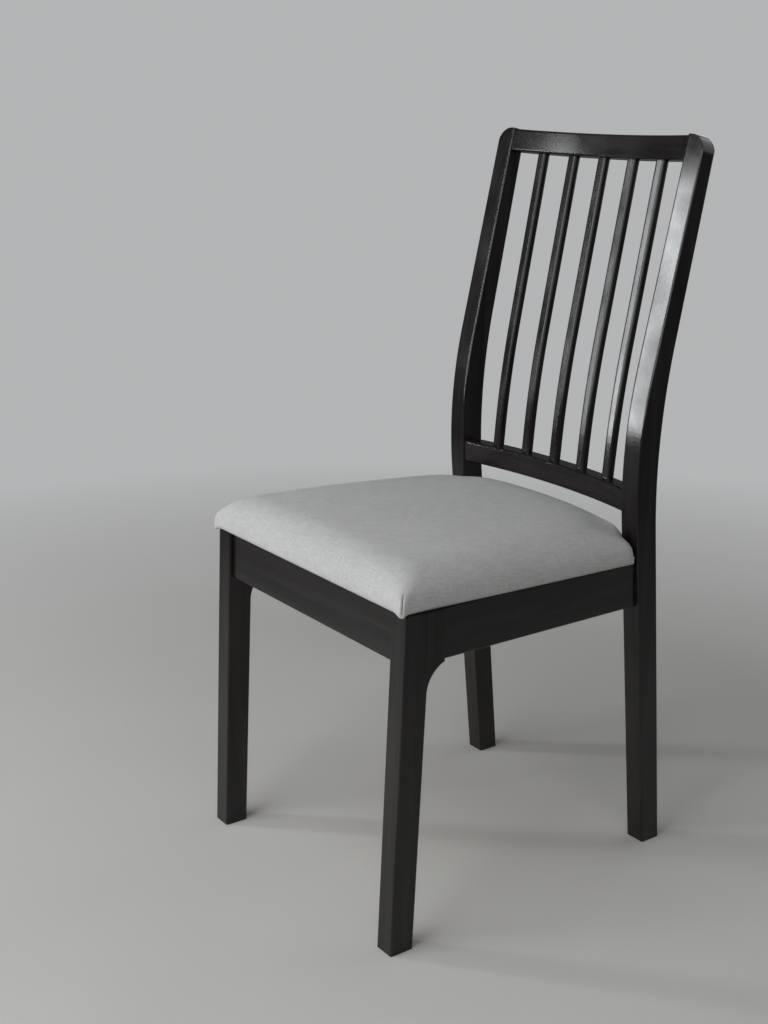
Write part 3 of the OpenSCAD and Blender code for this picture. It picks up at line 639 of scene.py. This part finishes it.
def blown_up(pad_mesh, pad):
    """The pad's points after its cloth is inflated, each point's way capped and evened out."""
    start = pad_mesh.points.copy()
    obj = mesh_object("pad_cloth", start, pad_mesh.faces)
    held = obj.vertex_groups.new(name="held")
    rows = np.concatenate(pad_mesh.rows[pad_mesh.held :])
    held.add([int(i) for i in rows], 1.0, "REPLACE")
    cloth = obj.modifiers.new("cloth", "CLOTH")
    settings = cloth.settings
    settings.quality, settings.mass, settings.air_damping = 6, 0.3, 1.5
    settings.tension_stiffness = settings.compression_stiffness = 12
    settings.shear_stiffness, settings.bending_stiffness = 4, 0.6
    settings.use_pressure = True
    settings.uniform_pressure_force = pad.pressure
    settings.vertex_group_mass = "held"
    settings.effector_weights.gravity = 0
    cloth.collision_settings.use_collision = False
    cloth.collision_settings.use_self_collision = False
    cloth.point_cache.frame_start = 1
    cloth.point_cache.frame_end = CLOTH_FRAMES
    scene = bpy.context.scene
    for number in range(1, CLOTH_FRAMES + 1):
        scene.frame_set(number)
    seen = obj.evaluated_get(bpy.context.evaluated_depsgraph_get()).data
    moved = np.zeros(len(start) * 3)
    seen.vertices.foreach_get("co", moved)
    moved = moved.reshape(-1, 3)
    scene.frame_set(1)
    bpy.data.objects.remove(obj)
    way = moved - start
    far = np.linalg.norm(way, axis=1, keepdims=True)
    way = way * np.minimum(1, pad.cap / np.maximum(far, 1e-9))
    free = np.ones(len(start))
    free[rows] = 0
    even = smoothed(way, linked(pad_mesh.faces), free * 0.6, 60)
    return start + even + (way - even) * 0.12  # a little of the cloth's own unevenness is kept


def linked(faces):
    """Both ends of every edge."""
    edges = set()
    for face in faces:
        for a, b in zip(face, face[1:] + face[:1]):
            edges.add((min(a, b), max(a, b)))
    return np.array(sorted(edges)).T


def smoothed(points, links, amount, rounds):
    """Points moved towards the mean of their neighbours, each by its own amount."""
    first, second = links
    shares = np.bincount(first, minlength=len(points)) + np.bincount(second, minlength=len(points))
    for _ in range(rounds):
        total = np.zeros_like(points)
        for axis in range(3):
            total[:, axis] = np.bincount(first, points[second, axis], len(points))
            total[:, axis] += np.bincount(second, points[first, axis], len(points))
        mean = total / np.maximum(shares, 1)[:, None]
        points = points + (mean - points) * amount[:, None]
    return points


def tailored(pad_mesh, points, pad):
    """The blown-up cloth with its edges eased, its small creases and its corners sewn."""
    form = pad_mesh.form
    free = np.zeros(len(points), bool)
    free[np.concatenate([pad_mesh.index.ravel(), *pad_mesh.rows[1 : pad_mesh.held]])] = True
    links = linked(pad_mesh.faces)
    points = smoothed(points, links, 0.35 * free, 3)

    # the band where the top meets the roll is eased once more
    rim = np.minimum(
        form.half(points[:, 1]) - np.abs(points[:, 0]),
        np.minimum(points[:, 1] + PAD_FRONT, pad.back - points[:, 1]),
    )
    band = (1 - swell((rim - 40 * MM) / (30 * MM))) * swell((points[:, 2] - 25 * MM) / (6 * MM))
    points = smoothed(points, links, 0.5 * band * free, 14)

    # fine creases where the cloth is pulled round the rear corners and over the front edge
    x, y, z = points[:, 0], points[:, 1], points[:, 2]
    pulled_in, rear_at, rear_spread = 0.03, 0.33, 0.055
    clear_of_rim = swell((z / MM - 6) / 8)
    out = np.clip(1 - (form.half(y) - np.abs(x)) / pulled_in, 0, 1)
    rear = np.exp(-(((y - rear_at) / rear_spread) ** 2)) * out * clear_of_rim
    wander = 0.004 * np.sin(y * 41) + 0.0025 * np.sin(y * 97 + 1)
    ripple = np.sin((z + wander + 0.10 * y) * 2 * math.pi / 0.0082)
    ripple = ripple + 0.5 * np.sin((z - 0.16 * y + wander) * 2 * math.pi / 0.0131 + 2)
    lead = np.clip(1 - (y + PAD_FRONT) / pulled_in, 0, 1) * clear_of_rim
    pull = np.sin((x + 0.25 * z) * 2 * math.pi / 0.023 + 3 * np.sin(x * 31))
    shift = np.zeros_like(points)
    shift[:, 0] = np.sign(x) * rear * ripple * pad.crease
    shift[:, 1] = -lead * pull * pad.crease * 0.45
    points = points + shift * free[:, None]

    # the cloth's tip hangs down over the leg at each front corner
    tip = np.hypot(np.abs(points[:, 0]) - form.half_front, y + PAD_FRONT) / (26 * MM)
    points[:, 2] -= 0.75 * points[:, 2] * (1 - swell(tip)) * (1 - swell(points[:, 2] / (24 * MM)))
    clear = np.maximum(-y - 1 * MM, np.abs(points[:, 0]) - LEG_SIDE) / (3 * MM)
    droop = (1 - swell(tip * 1.1)) * (1 - swell(points[:, 2] / (30 * MM))) * np.clip(clear, 0, 1)
    points[:, 2] -= 4.5 * MM * droop

    # each front corner is sewn: its line is drawn in, up to where the seam ends
    depth = 1.5 * MM
    for corner, side in ((0, -1), (ACROSS, 1)):
        way = np.array([-side * 0.7, 0.7, 0.0])
        for row in pad_mesh.rows[: pad_mesh.held + 3]:
            height = points[row[corner]][2]
            sewn = 1 - swell((height - (pad.seam_h - 5 * MM)) / (6 * MM))
            points[row[corner]] += way * depth * sewn
    return points


def padded_mesh(name, pad):
    """The seat pad as one closed form, hollow where the seat board is."""
    pad_mesh = PadMesh(PadForm(pad))
    pad_mesh.points = blown_up(pad_mesh, pad)
    pad_mesh.points = tailored(pad_mesh, pad_mesh.points, pad)
    creased = pad_mesh.line_cavity()
    obj = mesh_object(name, from_seat(pad_mesh.points), pad_mesh.faces)
    mesh = obj.data
    weave = mesh.uv_layers.new(name="weave")
    flat = np.array([place for lay in pad_mesh.lay for place in lay])
    weave.data.foreach_set("uv", flat.astype(np.float32).ravel())
    kept = set()
    for loop in creased[1:]:
        for a, b in zip(loop, loop[1:] + loop[:1]):
            kept.add((int(min(a, b)), int(max(a, b))))
    crease = mesh.attributes.new("crease_edge", "FLOAT", "EDGE")
    for edge in mesh.edges:
        if tuple(sorted(edge.vertices)) in kept:
            crease.data[edge.index].value = 1.0
    shape = bmesh.new()
    shape.from_mesh(mesh)
    bmesh.ops.recalc_face_normals(shape, faces=shape.faces)
    shape.to_mesh(mesh)
    shape.free()
    finer = obj.modifiers.new("finer", "SUBSURF")
    finer.levels = finer.render_levels = 1
    finer.use_limit_surface = False
    seen = obj.evaluated_get(bpy.context.evaluated_depsgraph_get())
    done = bpy.data.meshes.new_from_object(seen)
    obj.modifiers.clear()
    obj.data = done
    done.name = name
    for face in done.polygons:
        face.use_smooth = True
    return obj


def tube(path, radius, taper=True):
    """Points and faces of a closed tube along a path, finer at its ends if it tapers."""
    sides, tip = 6, 0.45
    path = [Vector(p) for p in path]
    points, faces = [], []
    up = Vector((0, 0, 1))
    for k, here in enumerate(path):
        ahead = path[min(k + 1, len(path) - 1)] - path[max(k - 1, 0)]
        ahead.normalize()
        if abs(ahead.dot(up)) > 0.95:
            up = Vector((1, 0, 0))
        across = ahead.cross(up).normalized()
        over = across.cross(ahead).normalized()
        size = radius * (tip if taper and k in (0, len(path) - 1) else 1)
        for j in range(sides):
            a = 2 * math.pi * j / sides
            points.append(here + across * size * math.cos(a) + over * size * math.sin(a))
    for k in range(len(path) - 1):
        for j in range(sides):
            a, b = k * sides + j, k * sides + (j + 1) % sides
            faces.append((a, b, b + sides, a + sides))
    faces.append(tuple(range(sides))[::-1])
    faces.append(tuple(range(len(points) - sides, len(points))))
    return points, faces


def joined(name, parts):
    """One object from several sets of points and faces."""
    points, faces = [], []
    for some_points, some_faces in parts:
        base = len(points)
        points += [tuple(p) for p in some_points]
        faces += [tuple(base + i for i in face) for face in some_faces]
    obj = mesh_object(name, points, faces)
    for face in obj.data.polygons:
        face.use_smooth = True
    return obj


# ---- what a user would change ----


class ChairWoodLook(bpy.types.PropertyGroup):
    """Colours and gloss of the timbers."""

    stain: bpy.props.FloatVectorProperty(
        name="Stain",
        description="Colour of the stained wood",
        subtype="COLOR", size=3, min=0, max=1,
        default=(0.0078, 0.0064, 0.006),
    )
    sheen: bpy.props.FloatProperty(
        name="Dullness",
        description="Roughness of the lacquer, from mirror to matt",
        subtype="FACTOR", min=0.1, max=0.9,
        default=0.155,
    )
    wear: bpy.props.FloatProperty(
        name="Edge wear",
        description="How far the stain is rubbed thin along the edges",
        subtype="FACTOR", min=0, max=1,
        default=0.45,
    )
    beech: bpy.props.FloatVectorProperty(
        name="Bare wood",
        description="Colour of the corner blocks and dowels",
        subtype="COLOR", size=3, min=0, max=1,
        default=(0.52, 0.36, 0.2),
    )
    birch: bpy.props.FloatVectorProperty(
        name="Seat board",
        description="Colour of the plywood under the pad",
        subtype="COLOR", size=3, min=0, max=1,
        default=(0.6, 0.44, 0.27),
    )
    steel: bpy.props.FloatVectorProperty(
        name="Fittings",
        description="Colour of the bolts, screws and staples",
        subtype="COLOR", size=3, min=0, max=1,
        default=(0.6, 0.61, 0.63),
    )


class ChairPadLook(bpy.types.PropertyGroup):
    """Sizes and cloth of the seat pad."""

    cloth: bpy.props.FloatVectorProperty(
        name="Cloth",
        description="Colour of the woven cover",
        subtype="COLOR", size=3, min=0, max=1,
        default=(0.5, 0.495, 0.48),
    )
    thread: bpy.props.FloatProperty(
        name="Thread spacing",
        description="Distance from one thread of the weave to the next",
        unit="LENGTH",
        min=0.0003,
        max=0.003,
        precision=5,
        default=0.85 * MM,
    )
    rear_half: bpy.props.FloatProperty(
        name="Rear half width",
        description="From the middle to the pad's edge beside a rear post",
        unit="LENGTH", default=201.1 * MM,
    )
    notch: bpy.props.FloatProperty(
        name="Rear corners",
        description="From the legs' front to the pad's rear corners, at the posts",
        unit="LENGTH", default=387.2 * MM,
    )
    back: bpy.props.FloatProperty(
        name="Back edge",
        description="From the legs' front to the pad's back edge, between the posts",
        unit="LENGTH", default=407.8 * MM,
    )
    post_in: bpy.props.FloatProperty(
        name="Half gap of the posts",
        description="From the middle to where the pad is cut round a post",
        unit="LENGTH", default=159.0 * MM,
    )
    edge_h: bpy.props.FloatProperty(
        name="Edge height",
        description="Height of the pad above the rails, where its front edge starts to roll",
        unit="LENGTH", default=45.6 * MM,
    )
    edge_fall: bpy.props.FloatProperty(
        name="Edge fall",
        description="How much lower the pad's sides are at the rear corners",
        unit="LENGTH", default=3.0 * MM,
    )
    crown_h: bpy.props.FloatProperty(
        name="Crown height",
        description="Height of the pad's middle above the rails before it is blown up",
        unit="LENGTH", default=53.0 * MM,
    )
    waist_h: bpy.props.FloatProperty(
        name="Widest height",
        description="Height above the rails at which the pad's sides stand furthest out",
        unit="LENGTH", default=15.0 * MM,
    )
    roll_front: bpy.props.FloatProperty(
        name="Front roll",
        description="How far the rounding of the front edge reaches in",
        unit="LENGTH", default=28.0 * MM,
    )
    roll_side: bpy.props.FloatProperty(
        name="Side roll",
        description="How far the rounding of the sides reaches in",
        unit="LENGTH", default=26.0 * MM,
    )
    roll_back: bpy.props.FloatProperty(
        name="Back roll",
        description="How far the rounding of the back edge reaches in",
        unit="LENGTH", default=13.0 * MM,
    )
    hem: bpy.props.FloatProperty(
        name="Hem",
        description="Width of the cloth turned in under the seat board",
        unit="LENGTH", default=32.0 * MM,
    )
    seam_h: bpy.props.FloatProperty(
        name="Corner seam",
        description="Height of the sewn seam at each front corner",
        unit="LENGTH", default=27.0 * MM,
    )
    crease: bpy.props.FloatProperty(
        name="Crease depth",
        description="Depth of the fine creases near the corners",
        unit="LENGTH",
        precision=5,
        default=0.3 * MM,
    )
    pressure: bpy.props.FloatProperty(
        name="Fill pressure",
        description="Pressure that blows the cloth up",
        min=0,
        max=20,
        default=4.0,
    )
    cap: bpy.props.FloatProperty(
        name="Greatest swelling",
        description="How far any point of the cloth may move",
        unit="LENGTH", default=6.0 * MM,
    )
    staple_gap: bpy.props.FloatProperty(
        name="Staple spacing",
        description="Distance from one staple of the hem to the next",
        unit="LENGTH", default=34.0 * MM,
    )


class ChairStageLook(bpy.types.PropertyGroup):
    """Floor, backdrop and light."""

    floor: bpy.props.FloatVectorProperty(
        name="Floor",
        description="Colour of the floor",
        subtype="COLOR", size=3, min=0, max=1,
        default=(0.53, 0.515, 0.49),
    )
    backdrop: bpy.props.FloatVectorProperty(
        name="Backdrop",
        description="Colour that is seen beyond the floor",
        subtype="COLOR", size=3, min=0, max=1,
        default=(0.455, 0.46, 0.465),
    )
    room: bpy.props.FloatVectorProperty(
        name="Room light",
        description="Colour of the light that falls on the chair from all round",
        subtype="COLOR", size=3, min=0, max=1,
        default=(0.11, 0.11, 0.112),
    )
    window: bpy.props.FloatProperty(
        name="Window",
        description="Power of the wide soft light ahead of the chair",
        unit="POWER", min=0,
        default=42.0,
    )
    window_edge: bpy.props.FloatProperty(
        name="Window edge",
        description="Power of the tall narrow light on the left, which the posts mirror",
        unit="POWER", min=0,
        default=22.0,
    )
    fill: bpy.props.FloatProperty(
        name="Fill",
        description="Power of the dim light on the chair's right",
        unit="POWER", min=0,
        default=14.0,
    )
    behind: bpy.props.FloatProperty(
        name="Behind",
        description="Power of the light that falls on the chair's back",
        unit="POWER", min=0,
        default=30.0,
    )
    ceiling: bpy.props.FloatProperty(
        name="Ceiling",
        description="Power of the wide light overhead",
        unit="POWER", min=0,
        default=25.0,
    )


# ---- operators ----


class CHAIR_OT_finish_timbers(bpy.types.Operator):
    """Stains and lacquers the legs, posts, rails, crest and slats"""

    bl_idname = "chair.finish_timbers"
    bl_label = "Timbers"

    def execute(self, context):
        look = context.scene.chair_wood
        upright = stained_wood("stained_wood_upright", 2, look)
        across = stained_wood("stained_wood_across", 0, look)
        along = stained_wood("stained_wood_along", 1, look)
        dress(upright, *named("front_leg"), *named("rear_post"), *named("slat_"))
        dress(across, "front_rail", "rear_rail", "crest_rail", "lower_back_rail")
        dress(along, *named("side_rail"))
        return {"FINISHED"}


class CHAIR_OT_finish_blocks(bpy.types.Operator):
    """Leaves the corner blocks and dowels as bare beech"""

    bl_idname = "chair.finish_blocks"
    bl_label = "Corner blocks and dowels"

    def execute(self, context):
        look = context.scene.chair_wood
        dress(bare_wood("bare_beech", 0, look.beech), *named("corner_block"))
        dress(bare_wood("dowel_beech", 0, shade(look.beech, 1.05)), "rail_dowels", "back_dowels")
        return {"FINISHED"}


class CHAIR_OT_finish_board(bpy.types.Operator):
    """Gives the seat board its veneer and plies"""

    bl_idname = "chair.finish_board"
    bl_label = "Seat board"

    def execute(self, context):
        dress(veneered_board("birch_plywood", context.scene.chair_wood.birch), "seat_board")
        return {"FINISHED"}


class CHAIR_OT_finish_fittings(bpy.types.Operator):
    """Plates the bolts, washers, inserts and screws"""

    bl_idname = "chair.finish_fittings"
    bl_label = "Fittings"

    def execute(self, context):
        steel = zinc_steel("zinc_steel", context.scene.chair_wood.steel)
        dress(steel, "leg_bolts", "bolt_washers", "leg_inserts", "block_screws", "seat_screws")
        return {"FINISHED"}


class CHAIR_OT_upholster(bpy.types.Operator):
    """Makes the padded seat in its woven cover"""

    bl_idname = "chair.upholster"
    bl_label = "Seat pad"

    def execute(self, context):
        pad = context.scene.chair_pad
        obj = padded_mesh("seat_pad", pad)
        obj.data.materials.clear()
        obj.data.materials.append(woven_cloth("melange_cloth", pad))
        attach(obj, "root")
        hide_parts("seat_cover", "seat_foam")
        return {"FINISHED"}


class CHAIR_OT_staple_hem(bpy.types.Operator):
    """Staples the hem to the underside of the seat board"""

    bl_idname = "chair.staple_hem"
    bl_label = "Hem staples"

    def execute(self, context):
        pad = context.scene.chair_pad
        inset = pad.hem - 4.5 * MM
        loop = PadForm(pad).ring(inset, inset, inset, 0.0, 2 * MM, 2 * MM, HEM_CUT)[:, :2]
        closed = np.concatenate([loop, loop[:1]])
        steps = np.linalg.norm(np.diff(closed, axis=0), axis=1)
        run = np.concatenate([[0], np.cumsum(steps)])
        draw = np.random.default_rng(7)
        parts = []
        for at in np.arange(pad.staple_gap / 2, run[-1], pad.staple_gap):
            i = int(np.searchsorted(run, at)) - 1
            way = Vector((*(closed[i + 1] - closed[i]), 0)).normalized()
            here = Vector((*(closed[i] + (closed[i + 1] - closed[i]) * 0.5), 0))
            way.rotate(Matrix.Rotation(math.radians(draw.uniform(-14, 14)), 3, "Z"))
            path = []
            for along, z in STAPLE:
                path.append(tuple(here + way * along * MM + Vector((0, 0, z * MM))))
            parts.append(tube(from_seat(np.array(path)), STAPLE_WIRE / 2, taper=False))
        obj = joined("hem_staples", parts)
        obj.data.materials.append(zinc_steel("staple_steel", context.scene.chair_wood.steel))
        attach(obj, "root")
        return {"FINISHED"}


class CHAIR_OT_sew_corners(bpy.types.Operator):
    """Sews the seam at each front corner of the pad, with a dark line along its groove as painted
    shade
    """

    bl_idname = "chair.sew_corners"
    bl_label = "Corner seams"

    def execute(self, context):
        pad = context.scene.chair_pad
        mesh = bpy.data.objects["seat_pad"].data
        # thread colour darkened so that it paints the seam groove's shade as well as colouring the
        # stitches
        material = sewing_thread("seam_thread", (0.085, 0.078, 0.07))
        half_front = PadForm(pad).half_front
        front, floor = seat_origin()
        c, s = math.cos(SEAT_SLOPE), math.sin(SEAT_SLOPE)
        spots = np.zeros(len(mesh.vertices) * 3)
        mesh.vertices.foreach_get("co", spots)
        spots = spots.reshape(-1, 3)
        heights = spots[:, 1] * s + spots[:, 2] * c - floor
        depths = spots[:, 1] * c - spots[:, 2] * s - front
        for name, side in (("corner_seam_left", -1), ("corner_seam_right", 1)):
            parts = []
            across = Vector((side * 1.0, 1.0, 0.0)).normalized()
            out = Vector((side * 0.7, -0.7, 0.0))
            near = (spots[:, 0] * side > 205 * MM) & (depths < 10 * MM)
            for z in np.arange(5 * MM, pad.seam_h, SEAM_STEP):
                level = near & (np.abs(heights - z) < 1.6 * MM)
                if not level.any():
                    continue
                reach = spots[level, 0] * side - depths[level]
                tip = spots[level][reach.argmax()]
                here = Vector(tip) - out * 0.55 * MM
                path = []
                for t in np.linspace(-1, 1, 5):
                    lift = out * (0.35 * MM * (1 - t * t)) + Vector((0, 0, 0.5 * MM * t))
                    path.append(here + across * t * 0.9 * MM + lift)
                parts.append(tube(path, STITCH))
            # a dark tube along the seam's groove: painted shade where the cloth folds in
            middle = np.abs(half_front - spots[:, 0] * side - depths - PAD_FRONT)
            seam = []
            for z in np.arange(2 * MM, pad.seam_h, SEAM_STEP):
                at = Vector(spots[np.argmin(np.where(near, middle + np.abs(heights - z), 1.0))])
                if not seam or at.z - seam[-1].z > 1 * MM:
                    seam.append(at + out * 0.2 * MM)
            parts.append(tube(seam, SEAM_SHADE_LINE))
            obj = joined(name, parts)
            obj.data.materials.append(material)
            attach(obj, "root")
        return {"FINISHED"}


FLOOR_RADIUS, FLOOR_SIDES = 9, 96
DAYLIGHT = (0.95, 0.98, 1.0)
LAMPS = (  # name, place, aim, width and height
    ("window", (0.1, -2.45, 1.35), (0.0, 1.0, -0.32), (2.2, 1.5)),
    ("window_edge", (-1.853, -1.941, 1.03), (0.302, 0.953, -0.08), (0.234, 1.4)),
    ("fill", (2.6, -1.3, 1.5), (-0.85, 0.42, -0.35), (2.4, 2.0)),
    ("ceiling", (0.1, -1.5, 2.9), (0.0, 0.45, -1.0), (2.6, 1.8)),
    ("behind", (0.4, 3.4, 1.7), (-0.1, -1.0, -0.3), (4.0, 2.6)),
)
CAMERA_PLACE = (1.42036, -1.13936, 1.00284)
CAMERA_TURN = (54.44, 17.81, 0.19)  # degrees left of +Y, down, and rolled
CAMERA_LENS, CAMERA_SHIFT = 50.02, (0.0049, 0.0347)


class CHAIR_OT_set_stage(bpy.types.Operator):
    """Lays the floor, hangs the light and places the camera"""

    bl_idname = "chair.set_stage"
    bl_label = "Stage"

    def execute(self, context):
        scene = context.scene
        look = scene.chair_stage
        turns = np.linspace(0, 2 * math.pi, FLOOR_SIDES + 1)[:-1]
        ring = [(FLOOR_RADIUS * math.cos(a), FLOOR_RADIUS * math.sin(a), 0) for a in turns]
        floor = mesh_object("stage_floor", ring, [tuple(range(FLOOR_SIDES))])
        floor.data.materials.append(plain_ground("stage_ground", look.floor))

        world = bpy.data.worlds.new("stage_world")
        world.use_nodes = True
        nodes, links = world.node_tree.nodes, world.node_tree.links
        light = nodes["Background"]
        light.inputs["Color"].default_value = shade(look.room)
        seen = nodes.new("ShaderNodeBackground")
        seen.inputs["Color"].default_value = shade(look.backdrop)
        mix = nodes.new("ShaderNodeMixShader")
        links.new(nodes.new("ShaderNodeLightPath").outputs["Is Camera Ray"], mix.inputs[0])
        links.new(light.outputs[0], mix.inputs[1])
        links.new(seen.outputs[0], mix.inputs[2])
        links.new(mix.outputs[0], nodes["World Output"].inputs["Surface"])
        scene.world = world

        for name, place, aim, size in LAMPS:
            lamp = bpy.data.lights.new(name, "AREA")
            lamp.shape = "RECTANGLE"
            lamp.size, lamp.size_y = size
            lamp.energy = getattr(look, name)
            lamp.color = DAYLIGHT
            hung = bpy.data.objects.new(name, lamp)
            hung.location = place
            hung.rotation_euler = Vector(aim).to_track_quat("-Z", "Y").to_euler()
            scene.collection.objects.link(hung)

        yaw, pitch, roll = (math.radians(a) for a in CAMERA_TURN)
        ahead = math.cos(pitch)
        forward = Vector((-math.sin(yaw) * ahead, math.cos(yaw) * ahead, -math.sin(pitch)))
        level = Vector((math.cos(yaw), math.sin(yaw), 0))
        rise = level.cross(forward)
        right = level * math.cos(roll) + rise * math.sin(roll)
        up = rise * math.cos(roll) - level * math.sin(roll)
        lens = bpy.data.cameras.new("view")
        lens.sensor_width, lens.lens = 36, CAMERA_LENS
        lens.shift_x, lens.shift_y = CAMERA_SHIFT
        lens.clip_start, lens.clip_end = 0.05, 60
        camera = bpy.data.objects.new("view", lens)
        basis = Matrix((right, up, -forward)).transposed().to_4x4()
        camera.matrix_world = Matrix.Translation(CAMERA_PLACE) @ basis
        scene.collection.objects.link(camera)
        scene.camera = camera
        scene.view_settings.view_transform = "Standard"
        return {"FINISHED"}


STEPS = (
    CHAIR_OT_finish_timbers,
    CHAIR_OT_finish_blocks,
    CHAIR_OT_finish_board,
    CHAIR_OT_finish_fittings,
    CHAIR_OT_upholster,
    CHAIR_OT_sew_corners,
    CHAIR_OT_staple_hem,
    CHAIR_OT_set_stage,
)


class CHAIR_PT_making(bpy.types.Panel):
    """The chair's sizes and colours, and the steps that make it"""

    bl_idname = "CHAIR_PT_making"
    bl_label = "Dining chair"
    bl_space_type = "VIEW_3D"
    bl_region_type = "UI"
    bl_category = "Dining chair"

    def draw(self, context):
        scene = context.scene
        for group in (scene.chair_wood, scene.chair_pad, scene.chair_stage):
            box = self.layout.box()
            for key in group.__annotations__:
                box.prop(group, key)
        column = self.layout.column(align=True)
        for step in STEPS:
            column.operator(step.bl_idname)


GROUPS = {"chair_wood": ChairWoodLook, "chair_pad": ChairPadLook, "chair_stage": ChairStageLook}


def register():
    for cls in (*GROUPS.values(), *STEPS, CHAIR_PT_making):
        bpy.utils.register_class(cls)
    for name, cls in GROUPS.items():
        setattr(bpy.types.Scene, name, bpy.props.PointerProperty(type=cls))


def unregister():
    for name in GROUPS:
        delattr(bpy.types.Scene, name)
    for cls in reversed((*GROUPS.values(), *STEPS, CHAIR_PT_making)):
        bpy.utils.unregister_class(cls)


def main():
    register()
    for step in STEPS:
        group, call = step.bl_idname.split(".")
        getattr(getattr(bpy.ops, group), call)()


if __name__ == "__main__":
    main()
